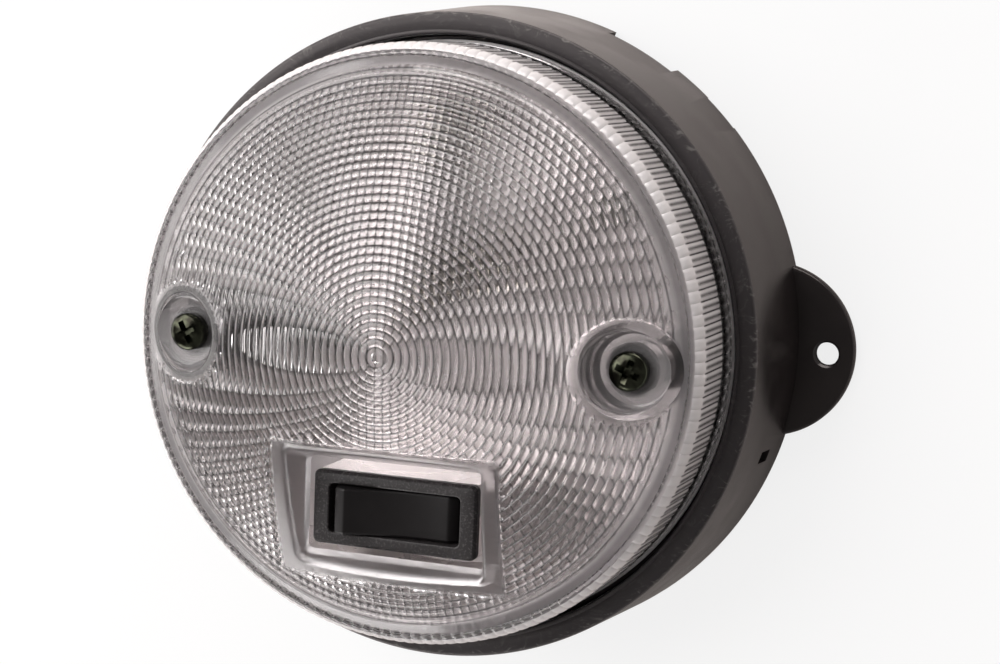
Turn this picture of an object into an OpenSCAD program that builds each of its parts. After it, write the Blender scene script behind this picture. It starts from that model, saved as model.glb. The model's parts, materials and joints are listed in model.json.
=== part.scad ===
// Round surface-mounted car interior light. A drafted housing with two fixing ears carries a domed
// clear lens, and a rocker switch stands in a window of the lens. The origin is the centre of the
// mounting face, +Z is the lamp's axis, +X runs to an ear and -Y to the switch. Millimetres.

/* [Housing] */
// Outer diameter at the rear rim
rear_d = 126; // [124:0.5:130]
// Outer diameter of the flat front ring
ring_d = 120.5; // [119:0.5:122]
// Height of the front ring above the mounting face
ring_z = 28.5; // [27:0.25:30]
// Thickness of the housing's walls
wall = 2.2; // [1.8:0.1:2.6]
// Height of the back plate's rear side above the mounting face
plate_z = 9; // [8:0.25:10]
// Gap between the front ring and the lens skirt
groove = 1.2; // [0.8:0.1:1.5]
// Depth of the lens seat below the front ring
seat_depth = 5.5; // [5:0.25:6]
// Height of the inner collar above the lens seat
collar_h = 8; // [7:0.25:9]
// Number of stiffening ribs behind the lens seat
rib_count = 18; // [6:3:24]
// Thickness of a rib
rib_t = 1.6; // [1.2:0.1:2]
// Depth of the cable notch in the rear rim
notch_depth = 4.6; // [3.5:0.1:5]
// Depth of the two shallow reliefs in the rear rim
relief_depth = 0.9; // [0.5:0.1:1.5]
// Width of the drain slot
drain_w = 2.4; // [2:0.1:3]
// Height of the drain slot
drain_h = 5; // [4:0.25:6]
// Height of the drain slot's lower end above the mounting face
drain_z = 8; // [7:0.25:9]
// Diameter of the two posts that carry the reflector
reflector_post_d = 7; // [6:0.2:8]

/* [Ears] */
// Distance between the two fixing holes
fixing_pitch = 136.2; // [135:0.2:138]
// Diameter of a fixing hole
fixing_d = 4.4; // [4:0.1:5]
// Distance from a fixing hole to the ear's tip
ear_tip = 5.2; // [4.5:0.1:6]
// Radius of an ear's outline
ear_r = 16.6; // [15:0.2:18]
// Thickness of an ear
ear_t = 2.5; // [2:0.1:3]

/* [Lens] */
// Outer diameter of the lens skirt at its base
lens_d = 110; // [109:0.25:111]
// Thickness of the lens
lens_t = 2.2; // [1.8:0.1:2.4]
// Height of the skirt's shoulder above the mounting face
shoulder_z = 42.7; // [42:0.1:43.5]
// Draft of the skirt, taken off the radius at the shoulder
skirt_draft = 0.6; // [0.3:0.1:0.9]
// Width of the rounded band between the skirt and the face
shoulder_w = 1.8; // [1.4:0.1:2.2]
// Height of that rounded band
shoulder_h = 1; // [0.6:0.1:1.4]
// Rise of the dome above the edge of the face
dome_h = 13.7; // [13:0.1:14.4]
// Pitch of the concentric rings
ring_pitch = 1.45; // [1.35:0.05:1.6]
// Height of a ring above the face
ring_rise = 0.35; // [0.2:0.05:0.5]
// Number of concentric rings
ring_count = 33; // [20:1:33]
// Diameter of the smooth disc in the middle
disc_d = 3.7; // [3:0.1:4.4]
// Number of flutes round the skirt
flute_count = 166; // [120:2:180]
// Depth of a flute
flute_depth = 0.55; // [0.3:0.05:0.7]
// Thickness of the gasket under the skirt
gasket_t = 1.4; // [1:0.1:1.8]

/* [Lens screws] */
// Distance of a lens screw from the axis
lens_screw_x = 42.1; // [41.5:0.1:42.5]
// Diameter of a screw recess
recess_d = 14.3; // [13:0.1:14.6]
// Height of the recess floor above the mounting face
recess_z = 45.4; // [45:0.1:46]
// Length of the lens boss that reaches down over a post
boss_l = 9; // [6:0.5:12]
// Diameter of a screw head
head_d = 6.9; // [6.5:0.1:7.5]
// Height of a screw head
head_h = 2.6; // [2:0.1:2.8]
// Diameter of a screw shank
shank_d = 3.5; // [3:0.1:3.9]
// Length of a screw under its head
shank_l = 19; // [14:1:24]
// Diameter of a housing post
post_d = 9.2; // [8:0.2:10]

/* [Lens window] */
// Width of the window at its foot
well_w = 34.8; // [34.4:0.1:35.4]
// Height of the window at its foot
well_h = 17.2; // [16.8:0.1:17.6]
// Height of the window's foot above the mounting face
well_z = 45; // [44.5:0.25:45.5]
// Slope of the window's two side walls, in degrees
well_side_slope = 8; // [4:1:12]
// Slope of the window's wall towards the axis, in degrees
well_top_slope = 16; // [8:1:18]
// Slope of the window's wall towards the rim, in degrees
well_foot_slope = 20; // [8:1:24]
// Width of the smooth border round the window
border_w = 3; // [2.4:0.1:3.2]
// Distance of the window's centre below the axis
well_y = 29.4; // [29.2:0.1:29.6]

/* [Switch] */
// Width of the bezel
bezel_w = 31.6; // [31:0.1:32]
// Height of the bezel
bezel_h = 13.6; // [13.5:0.1:14.2]
// Thickness of the bezel
bezel_t = 2; // [1.8:0.1:2.4]
// Height of the bezel's front above the mounting face
bezel_z = 47.2; // [46.8:0.1:47.6]
// Distance of the switch below the axis
switch_y = 29.6; // [29.2:0.1:29.8]
// Width of the key's opening
opening_w = 25.2; // [24.8:0.1:25.4]
// Height of the key's opening
opening_h = 9; // [8.6:0.1:9.2]
// Depth of the switch case below the bezel
case_depth = 19; // [18.5:0.25:20]
// Thickness of the switch case's sides
case_wall = 1; // [0.9:0.05:1.1]
// Thickness of the switch case's floor
case_floor_t = 2; // [1.6:0.1:2.4]
// Height of the contact blade above the case's floor
blade_lift = 5; // [4.5:0.1:5.5]
// Length of the contact blade
blade_l = 18.4; // [17.6:0.1:19]
// Width of the contact blade
blade_w = 4.6; // [4:0.1:5]
// Width of a terminal
terminal_w = 4.8; // [4:0.1:5]
// Thickness of a terminal
terminal_t = 0.8; // [0.6:0.05:0.9]
// Length of the terminals below the contact strips
terminal_drop = 3.5; // [2.5:0.1:4]
// Diameter of the switch's plunger
plunger_d = 2.2; // [2:0.1:2.4]
// Depth of the key's pivot below the bezel's front
pivot_depth = 3.2; // [3:0.1:3.6]
// Length of the key over its ends
key_l = 22.8; // [22:0.1:23.2]
// Distance between the lines where the key's face turns down to its ends
key_face_l = 19.2; // [18:0.1:20]
// Angle of the key to either side of its middle position
key_tilt = 10; // [8:0.5:11]
// Depth of the hollow in the key's face
key_hollow = 1.3; // [0.8:0.1:1.6]
// Play round the key in its opening
key_play = 0.3; // [0.25:0.05:0.4]
// Diameter of the key's trunnions
trunnion_d = 2.4; // [2:0.1:3]
// Angle of the contact blade to either side of its middle position
blade_tilt = 8; // [6:0.5:9]

/* [Reflector] */
// Thickness of the reflector
reflector_t = 1.5; // [1.2:0.1:1.8]
// Height of the reflector's floor above the back plate
reflector_lift = 8.3; // [7.8:0.1:9]
// Wall of the switch tower along its long sides
tower_wall = 0.95; // [0.8:0.05:1.1]
// Distance of a reflector screw from the vertical centre line
reflector_screw_x = 28; // [25:0.5:30]
// Distance of the reflector screws above the axis
reflector_screw_y = 24; // [20:0.5:26]
// Diameter of a reflector screw's head
reflector_head_d = 5.6; // [5:0.1:6]
// Height of a reflector screw's head
reflector_head_h = 1.8; // [1.4:0.1:2]
// Diameter of a reflector screw's shank
reflector_shank_d = 2.9; // [2.5:0.1:3]

/* [Bulb] */
// Length of the bulb over its caps
bulb_l = 36; // [35:0.5:37]
// Diameter of the bulb's glass
glass_d = 10.5; // [9.5:0.5:11]
// Diameter of a bulb cap
cap_d = 8.5; // [8:0.1:9]
// Distance of the bulb's upper end above the axis
bulb_end_y = 42.5; // [40:0.25:43]
// Height of the bulb's axis above the reflector's floor
bulb_lift = 10.5; // [9.5:0.25:11.5]
// Thickness of the contact metal
metal_t = 0.6; // [0.5:0.05:0.8]
// Width of a contact strip
strip_w = 5; // [4:0.2:5.6]

/* [Hidden] */
$fn = 64;
round_fn = 120;
cut = 0.01;

// Housing section
rear_r = rear_d / 2;
ring_r = ring_d / 2;
lens_r = lens_d / 2;
ring_in_r = lens_r + groove;
seat_z = ring_z - seat_depth;
collar_z = seat_z + collar_h;
skirt_play = 0.5;
collar_r = lens_r - lens_t - skirt_play;
plate_top = plate_z + wall;
edge_round = 0.4;
fixing_x = fixing_pitch / 2;
ear_centre_x = fixing_x + ear_tip - ear_r;
drain_angle = -18;
notch_angles = [55.2, 68.3];
relief_angles = [[41, 48], [-60, -52]];
function wall_r(z) = rear_r + (ring_r - rear_r) * z / ring_z;

// Lens section
skirt_z = seat_z + gasket_t;
shoulder_r = lens_r - skirt_draft;
face_r = shoulder_r - shoulder_w;
face_z = shoulder_z + shoulder_h;
dome_r = (face_r * face_r + dome_h * dome_h) / (2 * dome_h);
dome_centre_z = face_z + dome_h - dome_r;
pattern_r = disc_d / 2 + ring_count * ring_pitch;
pip_d = 2;
pip_depth = 0.8;
boss_d = recess_d + 2.6;
post_play = 0.3;
function dome_z(r, drop = 0) = dome_centre_z + sqrt(pow(dome_r - drop, 2) - r * r);
function dome_line(r, drop, steps) = [for (i = [0:steps]) [r * i / steps, dome_z(r * i / steps, drop)]];

// Heights of the reflector and what stands on it
floor_z = plate_top + reflector_lift;
under_z = floor_z - reflector_t;
bulb_z = floor_z + bulb_lift;
bulb_y = bulb_end_y - bulb_l / 2;

// Switch
pivot_z = bezel_z - pivot_depth;
case_top = bezel_z - bezel_t;
case_z = case_top - case_depth;
case_w = opening_w + 2 * case_wall;
case_h = opening_h + 2 * case_wall;
case_floor = case_z + case_floor_t;
tower_play = 0.2;
tower_w = case_w + 2 * (tower_play + tower_wall + 0.5);
tower_h = case_h + 2 * (tower_play + tower_wall);
terminal_x = blade_l / 2 - 1.5 * terminal_t;
terminal_foot = under_z - terminal_drop;
blade_z = case_floor + blade_lift;
contact_gap = 0.3;
plunger_l = pivot_z - blade_z - metal_t - contact_gap;
spring_foot = plunger_l / 2 + trunnion_d / 4;
spring_top = trunnion_d / 2 + 1;
key_face_z = pivot_depth + 0.7;
key_end_z = pivot_depth - 0.4;
key_r = norm([key_l / 2, key_end_z]);
running_play = 0.1;

// Bulb caps, rivets and tabs
cap_l = 6;
cone_l = 2.4;
nose_r = 1.2;
foot_l = 9;
rivet_d = 2.2;
rivet_y = bulb_l / 2 - foot_l / 2;
tab_w = 6.3;
tab_z = 2;
feed_tab_y = 12;
earth_tab_x = 16;
earth_tab_y = 12;
door_tab_y = -10;
tab_play = 0.5;

module at_lens_screws() {
  for (side = [-1, 1]) translate([side * lens_screw_x, 0, 0]) children();
}

module at_reflector_screws() {
  for (side = [-1, 1]) translate([side * reflector_screw_x, reflector_screw_y, 0]) children();
}

module rounded_rect(w, h, r) {
  for (x = [-1, 1], y = [-1, 1]) translate([x * (w / 2 - r), y * (h / 2 - r)]) circle(r, $fn = 24);
  square([w - 2 * r, h], center = true);
  square([w, h - 2 * r], center = true);
}

// The section runs round the rim, up the drafted wall, over the front ring, down to the lens seat,
// over the inner collar and along the back plate.
module housing_section() {
  polygon([
    [rear_r - wall, 0], [rear_r, 0],
    [ring_r, ring_z - edge_round], [ring_r - edge_round, ring_z],
    [ring_in_r + edge_round, ring_z], [ring_in_r, ring_z - edge_round],
    [ring_in_r, seat_z], [collar_r, seat_z],
    [collar_r, collar_z], [collar_r - wall, collar_z],
    [collar_r - wall, plate_top], [0, plate_top],
    [0, plate_z], [collar_r, plate_z],
    [collar_r, seat_z - wall], [wall_r(seat_z - wall) - wall, seat_z - wall]
  ]);
}

module ear(side) {
  bevel = 0.7;
  difference() {
    translate([side * ear_centre_x, 0, 0]) {
      cylinder(r = ear_r, h = ear_t - bevel);
      translate([0, 0, ear_t - bevel]) cylinder(r1 = ear_r, r2 = ear_r - bevel, h = bevel);
    }
    translate([0, 0, -cut]) cylinder(r = rear_r - wall / 2, h = ear_t + 2 * cut, $fn = round_fn);
    translate([side * fixing_x, 0, -cut]) cylinder(d = fixing_d, h = ear_t + 2 * cut);
  }
}

// Ribs stand between the back plate and the wall, their feet a little above the plate's rear side
module rear_ribs() {
  in_r = collar_r - wall / 2;
  out_r = wall_r(seat_z) - wall / 4;
  rib_z = plate_z + wall / 3;
  for (i = [0:rib_count - 1]) rotate((i + 0.5) * 360 / rib_count)
    translate([in_r, -rib_t / 2, rib_z]) cube([out_r - in_r, rib_t, seat_z - wall / 2 - rib_z]);
}

// A cut in the rear rim, from one angle round to another
module rim_notch(from, to, depth) {
  rotate([0, 0, from]) translate([0, 0, -1])
    rotate_extrude(angle = to - from, $fn = round_fn)
      translate([rear_r - 3 * wall, 0]) square([4 * wall, depth + 1]);
}

module drain_slot() {
  rotate(drain_angle) translate([ring_r - 2 * wall, -drain_w / 2, drain_z])
    cube([4 * wall, drain_w, drain_h]);
}

module tab_slot(x, y) {
  translate([x, y, plate_z + wall / 2])
    cube([tab_w + 2 * tab_play, metal_t + 2 * tab_play, wall + 1], center = true);
}

module housing() {
  color("#2b2928") difference() {
    union() {
      rotate_extrude($fn = round_fn) housing_section();
      rear_ribs();
      for (side = [-1, 1]) ear(side);
      at_lens_screws() translate([0, 0, plate_z]) cylinder(d = post_d, h = recess_z - lens_t - plate_z);
      at_reflector_screws() translate([0, 0, plate_z]) cylinder(d = reflector_post_d, h = under_z - plate_z);
    }
    at_lens_screws() translate([0, 0, recess_z - shank_l]) cylinder(d = shank_d, h = shank_l);
    at_reflector_screws() translate([0, 0, plate_top]) cylinder(d = reflector_shank_d, h = under_z);
    rim_notch(notch_angles[0], notch_angles[1], notch_depth);
    for (a = relief_angles) rim_notch(a[0], a[1], relief_depth);
    drain_slot();
    tab_slot(-terminal_x - terminal_t / 2 - strip_w / 2, feed_tab_y);
    tab_slot(earth_tab_x, earth_tab_y);
    tab_slot(terminal_x + terminal_t / 2 + strip_w / 2, door_tab_y);
  }
}

// The lens without its rings: dome, rounded shoulder and drafted skirt
module lens_form() {
  rotate_extrude($fn = round_fn) polygon(concat(
    [[0, skirt_z]],
    dome_line(face_r, 0, 16),
    [[shoulder_r - shoulder_w * 0.3, face_z - shoulder_h * 0.3], [shoulder_r, shoulder_z], [lens_r, skirt_z]]
  ));
}

module lens_cavity() {
  rotate_extrude($fn = round_fn) polygon(concat(
    [[0, skirt_z - 1]],
    dome_line(shoulder_r - lens_t, lens_t, 16),
    [[shoulder_r - lens_t, shoulder_z - lens_t], [lens_r - lens_t, skirt_z], [lens_r - lens_t, skirt_z - 1]]
  ));
}

// The flutes are the V-shaped valleys of a star, cut round the upper part of the skirt
module skirt_flutes() {
  step = 360 / flute_count;
  crest_r = lens_r + 1;
  valley_r = shoulder_r - flute_depth;
  half = 0.36;
  corners = [[0, valley_r], [half, shoulder_r + 0.2], [1 - half, shoulder_r + 0.2]];
  translate([0, 0, collar_z]) linear_extrude(face_z - collar_z) difference() {
    circle(crest_r, $fn = round_fn);
    polygon([for (i = [0:flute_count - 1]) for (p = corners)
      [p[1] * cos((i + p[0]) * step), p[1] * sin((i + p[0]) * step)]]);
  }
}

// The window's space widens from its foot, more towards the axis and the rim than to the sides
module well_pocket(grow = 0, lift = 0) {
  rise = 12;
  side = rise * tan(well_side_slope);
  top = rise * tan(well_top_slope);
  foot = rise * tan(well_foot_slope);
  hull() {
    translate([0, -well_y, well_z - lift]) linear_extrude(cut)
      rounded_rect(well_w + 2 * grow, well_h + 2 * grow, 1 + grow);
    translate([0, -well_y + (top - foot) / 2, well_z + rise]) linear_extrude(cut)
      rounded_rect(well_w + 2 * (grow + side), well_h + 2 * grow + top + foot, 1 + grow);
  }
}

// Rings stand on the dome everywhere but round the window and the screw recesses
module optic_rings() {
  sunk = 0.4;
  difference() {
    rotate_extrude($fn = round_fn) polygon(concat(
      [[disc_d / 2, dome_z(disc_d / 2) - sunk], [disc_d / 2, dome_z(disc_d / 2)]],
      [for (i = [0:ring_count - 1]) for (p = [[0.5, ring_rise], [1, 0]])
        let (r = disc_d / 2 + (i + p[0]) * ring_pitch) [r, dome_z(r) + p[1]]],
      [for (i = [ring_count:-3:0]) let (r = disc_d / 2 + i * ring_pitch) [r, dome_z(r) - sunk]]
    ));
    translate([0, -well_y, well_z]) linear_extrude(dome_r)
      rounded_rect(well_w + 2.6 + 2 * border_w, well_h + 2.4 + 2 * border_w, 2);
    at_lens_screws() translate([0, 0, recess_z - lens_t]) cylinder(d = recess_d + border_w, h = dome_h);
  }
}

module lens() {
  color("#d8dcde", 0.45) difference() {
    union() {
      difference() {
        lens_form();
        lens_cavity();
      }
      intersection() {
        lens_form();
        union() {
          well_pocket(lens_t, 0);
          at_lens_screws() translate([0, 0, recess_z - boss_l]) cylinder(d = boss_d, h = boss_l + dome_h);
        }
      }
      optic_rings();
    }
    well_pocket(0, 1);
    at_lens_screws() translate([0, 0, recess_z]) cylinder(d = recess_d, h = dome_h);
    at_lens_screws() translate([0, 0, recess_z - lens_t - cut]) cylinder(d = shank_d + 0.6, h = lens_t + 1);
    at_lens_screws() translate([0, 0, recess_z - lens_t - boss_l])
      cylinder(d = post_d + 2 * post_play, h = boss_l);
    skirt_flutes();
    translate([0, 0, dome_z(0) - pip_depth]) cylinder(d = pip_d, h = 2);
  }
}

module lens_gasket() {
  lip = 0.4;
  color("#b9b6b0") rotate_extrude($fn = round_fn)
    translate([collar_r + 0.1, seat_z]) square([lens_r + lip - collar_r - 0.1, gasket_t]);
}

// Pan head screw with a cross recess, its head's underside at z = 0
module pan_screw(head, height, shank, length) {
  slot_l = head * 0.58;
  slot_w = head * 0.13;
  slot_depth = head * 0.24;
  difference() {
    union() {
      intersection() {
        cylinder(d = head, h = height);
        translate([0, 0, height - head * 0.95]) sphere(r = head * 0.95, $fn = 96);
      }
      translate([0, 0, -length]) cylinder(d = shank, h = length);
    }
    translate([0, 0, height - slot_depth]) for (turn = [0, 90]) rotate(turn + 20)
      translate([-slot_l / 2, -slot_w / 2, 0]) cube([slot_l, slot_w, head]);
  }
}

module lens_screw(side) {
  color("#4a4744") translate([side * lens_screw_x, 0, recess_z])
    pan_screw(head_d, head_h, shank_d, shank_l - lens_t);
}

module reflector_section() {
  rim_r = collar_r - 0.2;
  dish_r = collar_r - wall - 0.3;
  slope = 3;
  polygon([
    [0, under_z], [dish_r - slope - reflector_t, under_z], [dish_r - reflector_t / 2, collar_z],
    [rim_r, collar_z], [rim_r, collar_z + reflector_t], [dish_r - reflector_t, collar_z + reflector_t],
    [dish_r - slope - 1.8 * reflector_t, floor_z], [0, floor_z]
  ]);
}

module reflector() {
  color("#e6e4e0") difference() {
    union() {
      rotate_extrude($fn = round_fn) reflector_section();
      translate([0, -switch_y, (under_z + case_top) / 2])
        cube([tower_w, tower_h, case_top - under_z], center = true);
    }
    translate([0, -switch_y, (under_z + case_top) / 2])
      cube([case_w + 2 * tower_play, case_h + 2 * tower_play, case_top - under_z + 2], center = true);
    at_lens_screws() translate([0, 0, under_z - 1]) cylinder(d = post_d + 0.6, h = collar_z);
    at_reflector_screws() translate([0, 0, under_z - 1])
      cylinder(d = reflector_shank_d + 0.5, h = reflector_t + 2);
    for (side = [-1, 1]) translate([0, bulb_y + side * rivet_y, under_z - 1])
      cylinder(d = rivet_d, h = reflector_t + 2);
  }
}

module reflector_screw(side) {
  color("#8f8c86") translate([side * reflector_screw_x, reflector_screw_y, floor_z])
    pan_screw(reflector_head_d, reflector_head_h, reflector_shank_d, floor_z - plate_top - wall / 2);
}

module bulb_glass() {
  glass_l = bulb_l - 2 * cap_l;
  color("#dfe6e8", 0.6) translate([0, bulb_y, bulb_z]) rotate([90, 0, 0]) rotate_extrude() polygon([
    [0, -glass_l / 2], [cap_d / 2 - 1, -glass_l / 2], [glass_d / 2, -glass_l / 2 + 3],
    [glass_d / 2, glass_l / 2 - 3], [cap_d / 2 - 1, glass_l / 2], [0, glass_l / 2]
  ]);
}

// A cap is a turned cup that closes one end of the glass and ends in a blunt cone
module bulb_cap(side) {
  color("#c9c3b2") translate([0, bulb_y, bulb_z]) rotate([-90 * side, 0, 0]) rotate_extrude() polygon([
    [0, bulb_l / 2 - cap_l], [cap_d / 2, bulb_l / 2 - cap_l], [cap_d / 2, bulb_l / 2 - cone_l],
    [nose_r, bulb_l / 2], [0, bulb_l / 2]
  ]);
}

// A sprung strip stands up at the bulb's end, with its foot turned in under the bulb. The bulb's
// blunt cone sits in the strip's hole.
module bulb_contact(side) {
  hole_r = 1.7;
  cone_slope = (cap_d / 2 - nose_r) / cone_l;
  seat_y = bulb_l / 2 - (hole_r - nose_r) / cone_slope;
  height = bulb_lift + 5;
  color("#c79a3e") translate([0, bulb_y, floor_z]) scale([1, side, 1]) difference() {
    union() {
      translate([-strip_w / 2, seat_y + metal_t - foot_l, 0]) cube([strip_w, foot_l, metal_t]);
      translate([-strip_w / 2, seat_y, 0]) cube([strip_w, metal_t, height]);
    }
    translate([0, seat_y - 1, bulb_lift]) rotate([-90, 0, 0]) cylinder(r = hole_r, h = 3);
    translate([0, rivet_y, -1]) cylinder(d = rivet_d, h = 3);
  }
}

module contact_rivet(side) {
  head_d = 3.8;
  head_h = 0.7;
  color("#b08a3a") translate([0, bulb_y + side * rivet_y, 0]) {
    translate([0, 0, under_z - metal_t]) cylinder(d = rivet_d, h = reflector_t + 2 * metal_t);
    translate([0, 0, floor_z + metal_t]) cylinder(d1 = head_d, d2 = head_d - 1, h = head_h);
    translate([0, 0, under_z - metal_t - head_h]) cylinder(d1 = head_d - 1, d2 = head_d, h = head_h);
  }
}

module switch_body() {
  bevel = 0.5;
  corner = 1.2;
  color("#3a3938") difference() {
    translate([0, -switch_y, 0]) {
      translate([0, 0, case_top]) linear_extrude(bezel_t - bevel) rounded_rect(bezel_w, bezel_h, corner);
      hull() {
        translate([0, 0, bezel_z - bevel - cut]) linear_extrude(cut) rounded_rect(bezel_w, bezel_h, corner);
        translate([0, 0, bezel_z - cut]) linear_extrude(cut)
          rounded_rect(bezel_w - 2 * bevel, bezel_h - 2 * bevel, corner - bevel);
      }
      translate([-case_w / 2, -case_h / 2, case_z]) cube([case_w, case_h, case_depth]);
    }
    translate([0, -switch_y, case_floor]) linear_extrude(case_depth) rounded_rect(opening_w, opening_h, 0.9);
    translate([0, -switch_y, pivot_z]) rotate([90, 0, 0])
      cylinder(d = trunnion_d + running_play, h = case_h + 2, center = true);
    for (i = [-1:1]) translate([i * terminal_x, -switch_y, case_z])
      cube([terminal_t, terminal_w, 6 * case_wall], center = true);
  }
}

// The key's profile about its pivot: a hollow face between two facets that turn down to the ends
module key_profile() {
  half = key_face_l / 2;
  hollow_r = (half * half + key_hollow * key_hollow) / (2 * key_hollow);
  difference() {
    intersection() {
      circle(key_r, $fn = 96);
      polygon([
        [-key_r, -0.8], [key_r, -0.8], [key_r, key_end_z], [key_l / 2, key_end_z], [half, key_face_z],
        [-half, key_face_z], [-key_l / 2, key_end_z], [-key_r, key_end_z]
      ]);
    }
    translate([0, key_face_z - key_hollow + hollow_r]) circle(hollow_r, $fn = 180);
  }
}

module at_pivot(angle) {
  translate([0, -switch_y, pivot_z]) rotate([0, angle, 0]) children();
}

module rocker() {
  key_w = opening_h - 2 * key_play;
  hub_d = 4.8;
  skin = 1.4;
  sleeve_l = spring_foot + 1.5;
  pocket_z = key_face_z - key_hollow - skin;
  color("#262525") at_pivot(key_tilt) {
    difference() {
      union() {
        rotate([90, 0, 0]) linear_extrude(key_w, center = true) key_profile();
        rotate([90, 0, 0]) cylinder(d = hub_d, h = key_w, center = true);
        translate([0, 0, -sleeve_l]) cylinder(d = plunger_d + 2, h = sleeve_l);
      }
      for (side = [-1, 1]) translate([side * (hub_d / 2 + key_r - skin) / 2, 0, 0])
        cube([key_r - skin - hub_d / 2 - 1, key_w - 2 * skin, 2 * pocket_z], center = true);
      translate([0, 0, -sleeve_l - 1])
        cylinder(d = plunger_d + running_play, h = sleeve_l + 1 - spring_top);
    }
    rotate([90, 0, 0]) cylinder(d = trunnion_d, h = case_h - 0.4, center = true);
  }
}

module switch_plunger() {
  tip_r = plunger_d / 2;
  color("#dcd8cc") at_pivot(key_tilt) translate([0, 0, tip_r - plunger_l]) {
    cylinder(r = tip_r, h = plunger_l - tip_r - spring_foot);
    sphere(tip_r, $fn = 32);
  }
}

// The spring is drawn as coils that touch, pressed between the plunger and the bottom of its sleeve
module switch_spring() {
  wire_d = 0.5;
  coils = floor((spring_foot - spring_top - 0.1 * wire_d) / (0.9 * wire_d));
  coil_r = plunger_d / 2 - wire_d / 2 - 0.1;
  color("#9a9a98") at_pivot(key_tilt) for (i = [0:coils - 1])
    translate([0, 0, (i * 0.9 + 0.5) * wire_d - spring_foot])
      rotate_extrude() translate([coil_r, 0]) circle(d = wire_d, $fn = 16);
}

module contact_blade() {
  color("#c79a3e") translate([0, -switch_y, blade_z]) rotate([0, -blade_tilt, 0])
    translate([-blade_l / 2, -blade_w / 2, 0]) cube([blade_l, blade_w, metal_t]);
}

module terminal(i) {
  drop = (terminal_x + terminal_t / 2) * tan(blade_tilt);
  top = blade_z - contact_gap - (i == 0 ? 0 : drop);
  color("#b9a15a") translate([i * terminal_x, -switch_y, 0]) {
    translate([-terminal_t / 2, -terminal_w / 2, terminal_foot])
      cube([terminal_t, terminal_w, top - terminal_foot]);
  }
}

// A strip lies under the reflector's floor and may end in a tab turned down through the back plate
module strip(x, from_y, to_y) {
  translate([x - strip_w / 2, from_y, under_z - metal_t]) cube([strip_w, to_y - from_y, metal_t]);
}

module tab(x, y) {
  translate([x - tab_w / 2, y - metal_t / 2, tab_z]) cube([tab_w, metal_t, under_z - tab_z]);
}

module feed_strip() {
  x = -terminal_x - terminal_t / 2 - strip_w / 2;
  color("#c79a3e") {
    strip(x, -switch_y - terminal_w / 2, feed_tab_y + metal_t / 2);
    tab(x, feed_tab_y);
  }
}

module door_strip() {
  x = terminal_x + terminal_t / 2 + strip_w / 2;
  color("#c79a3e") {
    strip(x, -switch_y - terminal_w / 2, door_tab_y + metal_t / 2);
    tab(x, door_tab_y);
  }
}

module lamp_strip() {
  end_y = bulb_y - rivet_y;
  color("#c79a3e") difference() {
    strip(0, -switch_y + terminal_w / 2, end_y + strip_w / 2);
    translate([0, end_y, under_z - 2]) cylinder(d = rivet_d, h = 4);
  }
}

module earth_strip() {
  end_y = bulb_y + rivet_y;
  color("#c79a3e") difference() {
    union() {
      translate([-strip_w / 2, end_y - strip_w / 2, under_z - metal_t])
        cube([earth_tab_x + strip_w, strip_w, metal_t]);
      strip(earth_tab_x, earth_tab_y - metal_t / 2, end_y + strip_w / 2);
      tab(earth_tab_x, earth_tab_y);
    }
    translate([0, end_y, under_z - 2]) cylinder(d = rivet_d, h = 4);
  }
}

housing();
lens();
lens_gasket();
lens_screw(-1);  // lens_screw_left
lens_screw(1);  // lens_screw_right
reflector();
reflector_screw(-1);  // reflector_screw_left
reflector_screw(1);  // reflector_screw_right
bulb_glass();
bulb_cap(1);  // bulb_cap_top
bulb_cap(-1);  // bulb_cap_bottom
bulb_contact(1);  // bulb_contact_top
bulb_contact(-1);  // bulb_contact_bottom
contact_rivet(1);  // contact_rivet_top
contact_rivet(-1);  // contact_rivet_bottom
switch_body();
rocker();
switch_plunger();
switch_spring();
contact_blade();
terminal(-1);  // switch_terminal_feed
terminal(0);  // switch_terminal_lamp
terminal(1);  // switch_terminal_door
feed_strip();
lamp_strip();
earth_strip();
door_strip();
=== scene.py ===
# %% [markdown]
# # A round car interior light
# The real light is a black moulded cup that is screwed to a panel by two ears. A clear domed lens
# closes it, held by two screws, and a rocker switch stands in a window of the lens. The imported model
# gives every place and size, and each cell below dresses one piece of it. The light's own lengths are
# written in millimetres and turned to metres only when a mesh is made. The studio's are in metres.

import json
import math

import bmesh
import bpy
import numpy as np
from mathutils import Matrix, Vector
from mathutils.geometry import delaunay_2d_cdt

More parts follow.
